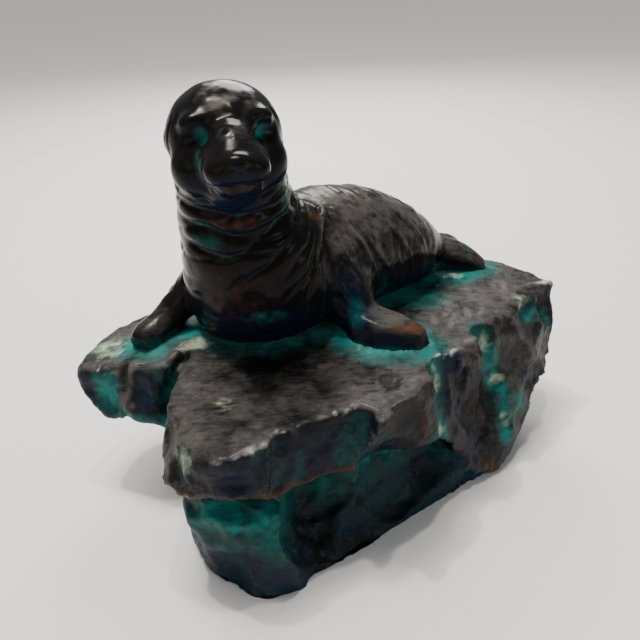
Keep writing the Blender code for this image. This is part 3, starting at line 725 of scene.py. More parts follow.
def along_body(places, top):
    """(distance down the body from the head, distance off its axis) of each point.

    The distance down is a mean over the axis, weighted by nearness, so that it stays smooth
    on the inner side of the bend between neck and back.
    """
    axis = catmull_rom(raised(BODY_AXIS, top), 5)
    run = np.concatenate([[0.0], np.cumsum(np.linalg.norm(np.diff(axis, axis=0), axis=1))])
    square = np.sum(places**2, axis=1)[:, None] + np.sum(axis**2, axis=1) - 2.0 * places @ axis.T
    closest = square.min(axis=1)
    weight = np.exp(-(square - closest[:, None]) / 60.0)
    return (weight @ run) / weight.sum(axis=1), np.sqrt(np.maximum(closest, 0.0))


# The creases that ring the neck and the folds of the trunk, with the rock's top at MEASURED_TOP.
NECK_CREASES = (
    [
        (-44, -8, 132),
        (-42, -15, 131.5),
        (-34, -22, 132),
        (-24, -22, 130.5),
        (-15, -17, 131.5),
        (-10, -8, 133.5),
    ],
    [
        (-46, -6, 129),
        (-43.5, -14, 128),
        (-33, -21.5, 126),
        (-22, -20, 124.8),
        (-12, -12.5, 126.7),
        (-8, -3, 128),
    ],
    [
        (-46, -4, 122),
        (-43, -14, 121),
        (-37, -20, 120.6),
        (-28, -21, 117.7),
        (-19, -19, 118.4),
        (-12, -13, 120.5),
    ],
    [(-47, -4, 115), (-44, -11, 114), (-40, -18, 111.9), (-32, -21, 110.5)],
)
# The roll of skin above each crease, from the crease.
ROLL_ABOVE = np.array([0.0, -0.8, 2.4])
TRUNK_FOLDS = (
    [(-10, 8, 126), (-6.5, 3, 121.5), (-8, -6, 120), (-10.6, -12, 119)],
    [(-6, 12, 120), (-4.5, 3, 117.5), (-2.9, -6.2, 113), (-5, -13, 107)],
    [(-1.4, 21, 117.7), (2.5, 10.7, 115), (1.7, -1.3, 109.3), (-0.1, -8.7, 104.7), (-1, -11, 96)],
    [(11, 29, 116.6), (16.6, 22.4, 114.4), (24, 17, 107.3), (26.1, 14.5, 103.2)],
    [(7, 11, 113.5), (14.2, 6.4, 105.7), (18.4, 5.9, 100.4), (20.6, 4.8, 92), (19.4, -0.4, 85.1)],
    [(15, 31, 115.3), (22.6, 24, 111.5), (27.5, 20.6, 106.7), (29.2, 17.2, 102.4)],
    [(23.2, 13, 104.7), (24.4, 8.5, 92.7)],
    [(27.6, 17.7, 104.4), (29.7, 13.3, 90.3)],
    [(31.9, 20.2, 102), (32.5, 16.3, 88.8)],
    [(34.3, 19.2, 97.1), (35.3, 19.1, 87.4)],
)


def along_folds(places, top):
    """Coordinates in which the trunk's loose skin runs straight.

    The first counts across the folds and the second along them: a fold starts at the nape or
    the back and sweeps down and forwards to the elbow, so a step towards the tail is the same
    as a step down and forwards.
    """
    down, _ = along_body(places, top)
    side = places[:, 0] * 0.62 - places[:, 1] * 0.78
    drop = top + 50.0 - places[:, 2]
    return down - 0.55 * drop * ramp(side, -30.0, 10.0), drop + 0.4 * side


def off_limbs(places, top):
    """1 on the body, falling to 0 at the fore flippers, whose skin is drawn smooth."""
    right = near_point(places, (24, -6, top + 4), (30, 26, 20))
    left = near_point(places, (-66, 4, top), (18, 20, 20))
    return np.clip(1.0 - 1.8 * (right + left), 0.0, 1.0)


def skin_folds(places, sizes):
    """Depth of the loose skin: rolls that ring the neck, its creases, and the trunk's raised folds."""
    top = sizes.rock_top / MM
    down, _ = along_body(places, top)
    around = np.stack([down / 5.2, places[:, 0] / 20.0, (places[:, 1] + places[:, 2]) / 20.0], axis=1)
    wander = noise(around, 1.0, 41) + 0.3 * noise(2.3 * around, 1.0, 42)
    line = np.clip(1.0 - np.abs(wander) / 0.22, 0.0, 1.0) ** 1.4
    roll = np.abs(np.sin(np.pi * (down + 3.2 * noise(places, 15.0, 43)) / 6.6))
    neck = ramp(down, 12, 20) * (1.0 - ramp(down, 44, 62))
    body = ramp(down, 12, 22) * (1.0 - ramp(down, 62, 82))
    smooth_chest = near_point(places, (-28, -18, top + 22), (32, 28, 24))
    calm = (1.0 - smooth_chest) * off_limbs(places, top)
    loose = 0.55 * body * (line - 0.25 * np.abs(wander))
    rings = 0.42 * neck * ((1.0 - roll) ** 2 - 0.3 * roll)
    depth = sizes.fold_depth / MM
    cut = depth * calm * (loose + rings)
    for knots in NECK_CREASES:
        crease = np.array(raised(knots, top - MEASURED_TOP))
        cut += 0.8 * depth * near_line(places, crease, 1.2)
        cut -= 0.35 * depth * near_line(places, crease + ROLL_ABOVE, 1.9)
    for knots in TRUNK_FOLDS:
        fold = raised(knots, top - MEASURED_TOP)
        cut += 0.60 * depth * tapered(places, fold, 2.8) - 1.2 * depth * tapered(places, fold, 1.3)
    return cut


def trunk_wrinkles(places, sizes):
    """Long thin ridges that sweep down the flank, soft lumps over the hips, and uneven skin."""
    top = sizes.rock_top / MM
    across, along = along_folds(places, top)
    down, _ = along_body(places, top)
    table = np.stack([across / 5.0, along / 34.0, np.zeros(len(places))], axis=1)
    sweep = noise(table, 1.0, 51) + 0.35 * noise(table * (2.2, 1.6, 1.0), 1.0, 52)
    ridge = np.clip(1.0 - np.abs(sweep) / 0.34, 0.0, 1.0) ** 1.5
    flank = ramp(down, 52, 68) * (1.0 - ramp(down, 96, 128))
    hips = ramp(down, 96, 110) * (1.0 - ramp(down, 132, 142))
    depth = sizes.wrinkle_depth / MM * off_limbs(places, top)
    lumps = layered(places, 6.0, 53, 2)
    uneven = 0.09 * layered(places, 4.5, 55, 3) * ramp(down, 6, 30)
    return -depth * (flank * (0.95 * ridge - 0.2) + 0.30 * (flank + 1.4 * hips) * lumps) + uneven


def cheek_fold(at, side, out, back, low):
    """A bow from brow level down behind the cheek, fullest in the middle."""
    upper = [at(side * (out - 0.6), back, 9.0), at(side * (out + 1.0), back - 1.5, -1.0)]
    return upper + [at(side * (out - 1.0), back, low)]


# Where the eyes sit: out to the side of the skull's centre, and up.
EYES = ((-8.7, 4.4), (10.6, 3.6))
# The folds behind the cheek: out to the side, back along the face, lower end, and strength.
CHEEK_FOLDS = ((15.6, 8.0, -12.0, 0.8), (17.6, 5.5, -14.0, 0.8), (19.2, 1.5, -15.0, 0.6))


def face_carving(places, sizes):
    """Depth cut into the head: eyes, nostrils, mouth, the ring round the muzzle, cheek folds."""
    at = partial(on_head, sizes)
    cut = np.zeros(len(places))
    for side, up in EYES:
        cut += 3.2 * near_point(places, at(side, 16.5, up), (6.8, 9.0, 6.4))
        cut += 0.9 * near_point(places, at(side, 15.0, up), (3.0, 6.0, 2.8))
    for side in (-1, 1):
        cut += 1.1 * near_point(places, at(side * 2.7, 37.0, -1.4), (1.5, 3.0, 1.2))
        for out, back, low, strength in CHEEK_FOLDS:
            cut += strength * near_line(places, cheek_fold(at, side, out, back, low), 1.0)
            cut -= 0.5 * strength * near_line(places, cheek_fold(at, side, out + 1.0, back - 1.0, low), 0.9)
        ring = [at(side * 2.5, 26.0, 5.6), at(side * 7.4, 24.0, 3.4), at(side * 10.6, 22.0, -1.6)]
        ring += [at(side * 10.6, 21.0, -7.2), at(side * 7.0, 21.5, -11.6), at(0, 22.0, -13.4)]
        cut += 0.50 * near_line(places, [(x, y + 1.6, z) for x, y, z in ring], 1.5)
        cut -= 0.55 * near_line(places, ring, 0.75)
        lip = [at(0, 34.6, -7.4), at(side * 4.5, 33.2, -8.0)]
        lip += [at(side * 8.0, 29.5, -7.6), at(side * 10.0, 25.0, -6.4)]
        cut += (0.9 - 0.35 * near_point(places, lip[0], (4, 6, 4))) * near_line(places, lip, 0.8)
    cut += 0.8 * near_line(places, [at(0, 37.0, -3.2), at(0, 35.4, -7.0)], 0.8)
    hammered = layered(places, (4.6, 4.6, 3.6), 57, 3)
    skull = near_point(places, at(0, 4, 4), (26, 30, 24))
    return cut + 0.25 * hammered * np.sqrt(skull)


# Materials.


def node(tree, kind, place, **settings):
    made = tree.nodes.new(kind)
    made.location = place
    for key, value in settings.items():
        setattr(made, key, value)
    return made


def attribute(tree, name, place):
    made = node(tree, "ShaderNodeAttribute", place, attribute_name=name)
    return made.outputs["Fac"]


def maths(tree, operation, place, first, second, clamp=False):
    made = node(tree, "ShaderNodeMath", place, operation=operation, use_clamp=clamp)
    for socket, value in zip(made.inputs, (first, second)):
        if isinstance(value, (int, float)):
            socket.default_value = value
        else:
            tree.links.new(value, socket)
    return made.outputs[0]


def grain(tree, scale, detail, place, stretch=(1.0, 1.0, 1.0)):
    """Noise on Object coordinates, from 0 to 1; scale is in features per metre."""
    where = node(tree, "ShaderNodeTexCoord", (place[0] - 400, place[1]))
    turn = node(tree, "ShaderNodeMapping", (place[0] - 200, place[1]))
    turn.inputs["Scale"].default_value = stretch
    made = node(tree, "ShaderNodeTexNoise", place)
    made.inputs["Scale"].default_value = scale
    made.inputs["Detail"].default_value = detail
    made.inputs["Roughness"].default_value = 0.6
    tree.links.new(where.outputs["Object"], turn.inputs["Vector"])
    tree.links.new(turn.outputs["Vector"], made.inputs["Vector"])
    return made.outputs["Fac"]


def layer(tree, below, tint, share, place):
    """One colour laid over another by a share."""
    made = node(tree, "ShaderNodeMix", place, data_type="RGBA")
    tree.links.new(share, made.inputs["Factor"])
    if hasattr(below, "links"):
        tree.links.new(below, made.inputs[6])
    else:
        made.inputs[6].default_value = (*below, 1.0)
    made.inputs[7].default_value = (*tint, 1.0)
    return made.outputs[2]


def broken_share(tree, name, noise_out, spread, place, floor=0.0):
    """An attribute whose edge is broken up by noise, as a sprayed or wiped patina's is.

    The share is the attribute times (1 + spread times the noise's swing about its middle),
    less a floor that clears what is faint.
    """
    raw = attribute(tree, name, place)
    swing = maths(tree, "SUBTRACT", (place[0] + 200, place[1]), noise_out, 0.5)
    swing = maths(tree, "MULTIPLY", (place[0] + 350, place[1]), swing, spread)
    swing = maths(tree, "ADD", (place[0] + 500, place[1]), swing, 1.0 + floor)
    share = maths(tree, "MULTIPLY", (place[0] + 650, place[1]), raw, swing)
    return maths(tree, "SUBTRACT", (place[0] + 800, place[1]), share, floor, clamp=True)


def weighted(tree, place, parts):
    """The sum of several outputs, each times its weight."""
    total = None
    for step, (output, weight) in enumerate(parts):
        across, down = place[0] + 200 * step, place[1] - 150 * step
        scaled = maths(tree, "MULTIPLY", (across, down), output, weight)
        total = scaled if total is None else maths(tree, "ADD", (across + 200, place[1]), total, scaled)
    return total


# How the bare lacquer takes light on each piece; bump is its strength, and its depth in metres.
FINISHES = {
    "patinated_stone": {
        "Roughness": 0.36,
        "Specular IOR Level": 0.10,
        "Specular Tint": (1.0, 0.95, 0.90, 1.0),
        "Coat Weight": 0.06,
        "Coat Roughness": 0.16,
        "bump": (0.85, 0.0010),
    },
    "lacquered_hide": {
        "Roughness": 0.17,
        "Specular IOR Level": 0.06,
        "Specular Tint": (1.0, 0.84, 0.70, 1.0),
        "Coat Weight": 0.03,
        "Coat Roughness": 0.07,
        "bump": (0.32, 0.0004),
    },
}


def patinated(name, colours):
    """Lacquered casting: dark ground, dust and painted sheen on upward faces, patina, rust with painted table
    reflection, painted blue shade, burnish with painted highlights.
    """
    finish = FINISHES[name]
    made = bpy.data.materials.new(name)
    made.use_nodes = True
    tree = made.node_tree
    shader = tree.nodes["Principled BSDF"]
    shader.location = (1800, 0)
    coarse = grain(tree, 90.0, 4.0, (-900, 700))
    medium = grain(tree, 300.0, 6.0, (-900, 400))
    fine = grain(tree, 1300.0, 4.0, (-900, 100))
    brushed = grain(tree, 420.0, 6.0, (-900, -200), stretch=(0.35, 1.6, 1.0))
    mottle = weighted(tree, (-900, 1250), ((medium, 0.5), (brushed, 0.5)))
    worn = broken_share(tree, "worn", mottle, 5.0, (-600, 900), floor=0.25)
    navy = broken_share(tree, "navy", coarse, 1.5, (-600, 700))
    rust = broken_share(tree, "rust", medium, 4.0, (-600, 500), floor=0.3)
    patina = broken_share(tree, "patina", mottle, 3.0, (-600, 300), floor=0.05)
    cream = broken_share(tree, "cream", mottle, 4.5, (-600, 100), floor=0.35)
    tone = layer(tree, colours.lacquer, colours.worn, worn, (500, 900))
    tone = layer(tree, tone, colours.navy, navy, (700, 700))
    tone = layer(tree, tone, colours.rust, rust, (900, 500))
    tone = layer(tree, tone, colours.turquoise, patina, (1100, 300))
    tone = layer(tree, tone, colours.cream, cream, (1300, 100))
    rubbed = attribute(tree, "rubbed", (-600, -100))
    tone = layer(tree, tone, colours.burnish, rubbed, (1500, 0))
    tree.links.new(tone, shader.inputs["Base Color"])
    dull = maths(tree, "MAXIMUM", (300, -300), patina, cream)
    dull = maths(tree, "MAXIMUM", (400, -350), dull, maths(tree, "MULTIPLY", (300, -450), worn, 0.7))
    rough = maths(tree, "MULTIPLY", (500, -300), dull, 0.26)
    rough = maths(tree, "ADD", (900, -300), rough, finish["Roughness"])
    streak = maths(tree, "MULTIPLY", (900, -450), maths(tree, "SUBTRACT", (700, -450), medium, 0.5), 0.25)
    rough = maths(tree, "ADD", (1100, -300), rough, streak, clamp=True)
    tree.links.new(rough, shader.inputs["Roughness"])
    for socket in ("Specular IOR Level", "Specular Tint", "Coat Weight", "Coat Roughness"):
        shader.inputs[socket].default_value = finish[socket]
    height = weighted(tree, (900, -700), ((medium, 0.55), (brushed, 0.5), (fine, 0.25)))
    bump = node(tree, "ShaderNodeBump", (1500, -600))
    bump.inputs["Strength"].default_value, bump.inputs["Distance"].default_value = finish["bump"]
    tree.links.new(height, bump.inputs["Height"])
    tree.links.new(bump.outputs["Normal"], shader.inputs["Normal"])
    return made


# Masks that the material reads. A spot is (x, y, z, radius x, radius y, radius z, strength). The
# ledge's spots count z from the rock's top, and those of the walls count it from the table.


def keep(piece, **masks):
    """Keeps each mask as an attribute of the piece."""
    for name, values in masks.items():
        paint(piece, name, values)


LEDGE_TEAL = [
    (-46, 9, 0, 22, 12, 8, 1.4),
    (-16, 3, 0, 30, 11, 8, 1.4),
    (14, -4, 0, 24, 12, 8, 1.1),
    (30, -14, -1, 18, 9, 8, 0.9),
    (-85, 5, -6, 18, 14, 6, 0.5),
    (38, 26, 0, 26, 16, 8, 1.0),
    (60, 46, 0, 18, 12, 8, 0.9),
]
WALL_TEAL = [
    (-32, -62, 33, 30, 16, 9, 2.2),
    (-4, -58, 33, 14, 12, 9, 1.0),
    (-60, -14, 52, 10, 14, 14, 1.0),
    (-62, -28, 40, 12, 16, 14, 1.0),
    (-32, -60, 38, 30, 16, 8, 1.6),
    (-46, -62, 56, 9, 9, 9, 0.5),
    (-86, -9, 50, 10, 9, 13, 1.6),
    (86, 5, 24, 8, 9, 9, 1.1),
    (91, 25, 59, 11, 10, 9, 1.2),
    (103, 33, 50, 6, 9, 10, 0.8),
]
LEFT_WALL = [(42.5, -21, 60), (42.3, -25, 50), (44, -29.6, 41), (46, -30, 33)]
LONG_HOLLOW = [(64, 1, 63), (67.5, 2.5, 55), (70, 4, 42), (74.5, 4, 34), (77, -1, 26), (78.5, -5, 16)]

WALL_SHADOW = [
    (70, 4, 42, 3.6, 4.2, 3.8, 1.6),
    (90, 13, 33, 10, 8, 6, 1.2),
    (92, 26, 60, 6, 6, 3, 1.4),
    (30, -44, 50, 12, 9, 13, 0.7),
    (-12, -65, 36, 6, 9, 8, 2.0),
    (-69, -15, 51, 8, 9, 14, 1.4),
    (-28, -69, 54, 13, 9, 11, 1.8),
    (-95, -8, 50, 5, 8, 12, 1.2),
]
DARK_WALL = [(49, -19, 61), (51, -20, 50), (54.5, -18, 39), (57, -19, 30), (60, -16.6, 17)]
RECESS = [(-30, -70, 53), (-17, -63, 53), (-3, -56, 53), (14, -49, 53)]

LEDGE_CREAM = [
    (-50, -5, 0, 13, 7, 5, 1.3),
    (-33, 2, 0, 12, 4, 4, 0.9),
    (-34, -43, -1, 7, 6, 4, 1.0),
    (60, 50, 0, 14, 10, 6, 0.8),
    (-85, 5, -6, 17, 14, 6, 1.0),
]
WALL_CREAM = [
    (67, 2.5, 57, 5, 5, 9, 1.0),
    (74.5, 4.5, 37, 7, 6, 4, 1.5),
    (78, -3, 22, 5, 5, 8, 0.9),
    (87, 26, 63, 8, 8, 5, 1.2),
    (100, 31, 54, 6, 7, 4, 1.0),
    (-84, -15, 44, 9, 7, 6, 0.9),
    (-46, -62, 57, 9, 9, 9, 0.8),
]

LOWER_EDGE = [(-56, -60, 44), (-34, -70, 43), (-14, -64, 43), (12, -53, 41), (27, -48, 38)]
LOWER_EDGE += [(38, -42, 34), (50, -33, 25), (63, -22, 12), (73, -13, 3)]
# The slab's lower edge is brown partly as rust and partly as a painted reflection of the table below; the
# other lines are brown streaks.
RUST_LINES = (
    (0.85, 3.8, LOWER_EDGE),
    (0.8, 4.0, [(24, -47, 58), (28, -46, 48), (33, -43, 40)]),
    (0.6, 3.0, [(32, -42, 60), (36, -40, 50), (39, -38, 40)]),
    (0.5, 3.0, [(59, -11, 58), (64, -12, 42), (69, -15, 26)]),
)

# The rims that are rubbed bright and carry painted highlights: of the bite, of the recess and of the spur.
# They count z from the rock's top.
BRIGHT_RIMS = (
    (1.0, 1.7, [(-34, -69, -6), (-27, -67, -3.5), (-20.5, -63.5, -2.5)]),
    (1.0, 1.8, [(-18, -59, -2), (-7, -53, -1), (4, -48.5, -1), (11, -45, -1)]),
    (1.0, 2.0, [(-98, -3, -9), (-88, -7, -8), (-78, -8, -7)]),
)


def relief_of(places, normals, ends, rounds):
    """How far each point stands proud of its surroundings, in millimetres; hollows are negative."""
    return np.sum((places - relaxed(places, ends, rounds)) * normals, axis=1)


def rock_masks(piece, sizes, gap):
    """Where the stone has dust and painted sheen, patina, cream, painted blue shade, rust with painted table
    reflection, or burnish with painted highlights.
    """
    places, normals = read(piece)
    ends = edges_of(piece)
    top = sizes.rock_top / MM
    proud = relief_of(places, normals, ends, 3)
    broad = relief_of(places, normals, ends, 30)
    cloud = layered(places, 9.0, 61, 3)
    fleck = layered(places, 3.0, 65, 3)
    drift = layered(places, 16.0, 69, 2)
    up, height = normals[:, 2], places[:, 2]
    cavity = ramp(-broad, 0.20, 1.4)
    round_body = np.exp(-((gap / 6.5) ** 2))
    behind = ramp(places[:, 1], 4.0, 30.0)
    lip = np.interp(places[:, 0], *np.array(LIP, float).T) * (1.0 - behind) + (20.0 + 9.0 * drift) * behind
    under = ramp(lip - height, 0.0, 4.0)
    recess = np.clip(1.8 * near_line(places, RECESS, 9.5), 0.0, 1.0)
    recess *= ramp(0.7 - up, 0.0, 0.4) * (1.0 - under)

    teal = spots(places, raised(LEDGE_TEAL, top) + WALL_TEAL)
    for knots in (LEFT_WALL, LONG_HOLLOW):
        teal = np.maximum(teal, 1.1 * near_line(places, knots, 5.0))
    patina = 0.8 * teal + 0.26 * cavity * (1.0 - recess) + 0.85 * round_body
    patina *= (0.82 + 0.4 * cloud) * (0.92 + 0.35 * fleck)
    patina -= 0.45 * ramp(proud, 0.03, 0.30) * (1.0 - round_body)
    patina += 0.22 * recess * ramp(cloud, -0.2, 0.7)
    shadow = np.maximum(spots(places, WALL_SHADOW), 1.2 * near_line(places, DARK_WALL, 5.0))
    shadow = np.clip(shadow, 0.0, 1.0)
    patina *= 1.0 - 0.75 * shadow
    shade = 0.12 + 0.40 * ramp(height, 12.0, 30.0) * (1.0 - behind) + 0.25 * behind
    patina = np.maximum(patina, under * shade * (0.75 + 0.5 * cloud))

    cream = spots(places, raised(LEDGE_CREAM, top) + WALL_CREAM)
    cream = np.maximum(cream, 1.2 * near_line(places, LEFT_WALL[:3], 4.0) * ramp(cloud, -0.7, 0.5))
    cream = cream * (0.75 + 0.5 * fleck)

    dark_top = near_point(places, (-16, -22, top), (24, 24, 10))
    # Dust and painted sheen: upward faces lighter, as if lit from above, and steep faces a little.
    flat = ramp(up, 0.1, 0.8) * (0.68 + 0.50 * cloud) * (1.0 - 0.6 * dark_top)
    steep = 0.28 * (1.0 - ramp(up, 0.0, 0.6)) * ramp(cloud, -0.7, 0.8) * ramp(up, -0.5, 0.2)
    plate = near_point(places, (86, 8, 46), (16, 18, 24))
    spur_ridge = near_line(places, raised(SPUR_RIDGE, top), 2.0)
    worn = flat + steep + 0.45 * plate + 0.8 * spur_ridge
    # Painted shade: the dust and sheen are taken off under the slab's lip, in the recess, in the painted
    # shadows and in hollows.
    worn *= (1.0 - under) * (1.0 - recess) * (1.0 - shadow)
    worn *= (1.0 - 0.75 * cavity) * (0.72 + 0.6 * ramp(proud, -0.15, 0.25))

    # Painted blue shade: under the slab's lip and darker towards the table, on downward faces, in the recess
    # and in the painted shadows.
    navy = under * (0.25 + 0.70 * ramp(24.0 - height, 0.0, 14.0)) * ramp(0.7 - up, 0.0, 0.5)
    navy += 0.4 * ramp(-up, 0.1, 0.5) + 0.45 * recess
    navy = np.maximum(navy, 0.75 * shadow)

    rust = lines(places, RUST_LINES)

    # Burnish and painted highlights on the rims and on the lips over the flank's hollows.
    rim = lines(places, [(strength, width, raised(knots, top)) for strength, width, knots in BRIGHT_RIMS])
    lips = near_point(places, (46, -18, top), (9, 6, 4)) + near_point(places, (103, 41, top - 1), (8, 6, 4))
    rubbed = ramp(proud, 0.10, 0.28) * (0.05 + 0.95 * np.clip(rim + lips, 0.0, 1.0)) * ramp(fleck, -0.9, 0.0)
    keep(piece, patina=patina, cream=cream, worn=worn, navy=navy, rust=rust, rubbed=rubbed)


def animal_masks(piece, sizes):
    """Where the hide has patina, cream, dust and painted sheen, painted blue shade, rust with painted table
    reflection, or burnish with painted highlights.
    """
    places, normals = read(piece)
    ends = edges_of(piece)
    top = sizes.rock_top / MM
    proud = relief_of(places, normals, ends, 4)
    cloud = layered(places, 8.0, 71, 3)
    fleck = layered(places, 2.6, 75, 2)
    up = normals[:, 2]
    at = partial(on_head, sizes)
    (right_eye, right_up), (left_eye, left_up) = EYES

    teal = spots(
        places,
        [
            (*at(right_eye, 16.0, right_up), 3.8, 7, 3.8, 0.75),
            (*at(left_eye, 15.0, left_up), 3.4, 7, 3.8, 0.75),
            (*at(-10.5, 20.0, -3.0), 3.6, 6, 6.0, 0.45),
            (-20, -17, top + 19, 13, 8, 4.5, 0.85),
            (-38, -19, top + 49, 10, 7, 4, 0.6),
            (-9, -8, top + 61, 5, 8, 9, 0.6),
            (14, -8, top + 14, 5, 8, 10, 0.95),
            (22, 16, top + 18, 10, 10, 22, 0.75),
            (52, 44, top + 4, 14, 12, 8, 0.9),
            (70, 54, top + 12, 5, 6, 5, 0.6),
            (-46, -2, top + 30, 8, 10, 3, 0.4),
        ],
    )
    crease = ramp(-proud, 0.05, 0.22)
    near_rock = ramp(top + 5.0 - places[:, 2], 0.0, 6.0)
    teal *= 0.85 + 0.6 * fleck
    patina = 0.8 * teal + 0.45 * near_rock + crease * np.clip(0.10 + 0.45 * cloud, 0.0, 1.0)
    patina *= (0.8 + 0.5 * cloud) * (1.0 - near_point(places, at(0, 34, -3), (12, 12, 9)))
    cream = spots(places, [(8, 2, top + 30, 8, 8, 8, 0.5), (-9, -4, top + 58, 4, 5, 14, 0.55)])
    down, _ = along_body(places, top)
    # Dust and painted sheen: upward faces of the back and proud skin lighter, with sheen on the hand's top
    # and the left flipper's tip.
    worn = ramp(up, -0.2, 0.8) * ramp(down, 45, 75) * (0.75 + 0.35 * cloud)
    worn += ramp(proud, 0.02, 0.2) * ramp(down, 30, 60) * 0.35
    worn += 0.9 * near_point(places, (24, -5, top + 13), (20, 14, 6)) * ramp(up, 0.2, 0.7)
    worn += 0.55 * near_point(places, (-66, 6, top + 5), (16, 18, 12)) * ramp(up, 0.0, 0.8)
    # Painted sheen: a pale mottled reflection on the brow and on the bridge of the muzzle.
    worn += 0.60 * near_point(places, at(1, 10, 14), (19, 16, 9)) * (0.7 + 0.9 * fleck)
    worn += 0.60 * near_point(places, at(0, 22, 6), (9, 14, 5)) * (0.7 + 0.9 * fleck)
    # Painted highlights along the ridges of the trunk's folds.
    ridges = np.zeros(len(places))
    for knots in TRUNK_FOLDS:
        ridges = np.maximum(ridges, tapered(places, raised(knots, top - MEASURED_TOP), 1.4))
    worn += 0.35 * ridges * ramp(down, 40, 60)
    # Painted shade: the fore flipper's front and the hand's front side lose their sheen and take the blue
    # shade, as the undersides do.
    arm_front = near_point(places, (14, -10, top + 20), (15, 13, 24))
    hand_front = near_point(places, (26, -18, top + 3), (26, 9, 9))
    worn *= 1.0 - 0.8 * np.maximum(arm_front, hand_front)
    # Painted shade: the creases are kept dark.
    worn *= 1.0 - 0.8 * crease
    navy = ramp(-up, 0.0, 0.5) * 0.6 + 0.9 * arm_front + 0.6 * hand_front
    # Brown spots: rust on the trunk, the neck and the chin, rust and painted table reflection on the
    # flipper's edge, and a broad painted reflection of the table on the chest.
    rust = spots(
        places,
        [
            (34, -14, top + 9, 14, 5, 3, 1.2),
            (-2, 4, top + 48, 8, 8, 10, 0.6),
            (8, 8, top + 40, 8, 8, 10, 0.6),
            (30, 26, top + 26, 10, 10, 14, 0.55),
            (-26, -22, top + 56, 20, 12, 5, 0.5),
            (*at(0, 30, -8.0), 12, 10, 4, 0.6),
            (-28, -18, top + 26, 30, 24, 32, 0.38),
        ],
    )
    # A faint burnish and painted highlight on the proudest skin.
    rubbed = 0.12 * ramp(proud, 0.15, 0.4)
    keep(piece, patina=patina, cream=cream, worn=worn, navy=navy, rust=rust, rubbed=rubbed)


# Operators.


def finished(piece, material):
    """Centres the piece as the casting is, smooths its shading, and ties it to the frame."""
    places, _ = read(piece)
    write(piece, places + TO_CENTRE)
    piece.data.shade_smooth()
    piece.data.materials.clear()
    piece.data.materials.append(material)
    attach(piece, "root")
    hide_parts(CASTING)


class FIGURINE_OT_sea_lion(bpy.types.Operator):
    """Models the sea lion with its folds and face"""

    bl_idname = "figurine.sea_lion"
    bl_label = "Sea Lion"

    def execute(self, context):
        sizes, colours = context.scene.figurine_sizes, context.scene.figurine_colours
        piece = fused("sea_lion", animal_forms(sizes), sizes.animal_grain)
        ends = edges_of(piece)
        places, _ = read(piece)
        write(piece, relaxed(places, ends, 18))
        places, normals = read(piece)
        depth = skin_folds(places, sizes) + trunk_wrinkles(places, sizes) + face_carving(places, sizes)
        write(piece, places - normals * depth[:, None])
        places, _ = read(piece)
        write(piece, relaxed(places, ends, 2))
        animal_masks(piece, sizes)
        finished(piece, patinated("lacquered_hide", colours))
        return {"FINISHED"}


def broken_block(sizes):
    """The outcrop's stones fused, chipped, and cut where pieces have broken away."""
    top = sizes.rock_top / MM
    block = fused("block", rock_stones(sizes), 1.5 * sizes.rock_grain)
    ends = edges_of(block)
    places, normals = read(block)
    normals = relaxed(normals, ends, 8)
    normals /= np.linalg.norm(normals, axis=1, keepdims=True)
    free = np.clip(1.0 - near_point(places, (-15, 8, top), (62, 30, 40)) * 4.0, 0.0, 1.0)
    free *= ramp(places[:, 2], 5.0, 12.0)
    places = struck(places, normals, sizes.chips / MM, free)
    write(block, relaxed(places, ends, 1))
    return carved(block, rock_cutters(sizes))


def gap_to_animal(places, animal, top):
    """Distance from each of the rock's points to the animal's skin, and 99 well below the ledge."""
    skin, _ = read(animal)
    skin = skin - TO_CENTRE
    skin = skin[(skin[:, 2] < top + 8) & (skin[:, 2] > top - 4)][::6]
    close = places[:, 2] > top - 14
    gap = np.full(len(places), 99.0)
    gap[close] = nearest_gap(places[close], skin)
    return gap


class FIGURINE_OT_rock(bpy.types.Operator):
    """Models the sea rock that the animal lies on"""

    bl_idname = "figurine.rock"
    bl_label = "Rock"

    def execute(self, context):
        sizes, colours = context.scene.figurine_sizes, context.scene.figurine_colours
        animal = bpy.data.objects.get("sea_lion")
        if animal is None:
            raise RuntimeError("the rock is fitted round the sea lion, which isn't there yet")
        top = sizes.rock_top / MM
        piece = fused("rock", [broken_block(sizes), apron(top)], sizes.rock_grain)
        places, _ = read(piece)
        places = relaxed(places, edges_of(piece), 2)
        gap = gap_to_animal(places, animal, top)
        write(piece, places)
        _, normals = read(piece)
        relief = rock_relief(places, normals, sizes) * ramp(gap, 0.0, 5.0)
        places = places + normals * relief[:, None]
        places = places + normals * rock_lines(places, top)[:, None]
        places[:, 2] += sizes.fillet / MM * np.exp(-gap / 2.6)
        places[:, 2] = np.maximum(places[:, 2], 0.0)
        write(piece, places)
        rock_masks(piece, sizes, gap)
        finished(piece, patinated("patinated_stone", colours))
        return {"FINISHED"}


# The camera: focal length and picture width in pixels, its place in metres, its tilts in degrees.
FOCAL_PX = 661.0
FRAME_PX = 640.0
CAMERA_AT = (-0.0034, -0.2376, 0.200)
CAMERA_PITCH = 29.2
CAMERA_ROLL = -2.4
LAMPS_AIM = Vector((0.0, 0.0, 0.07))


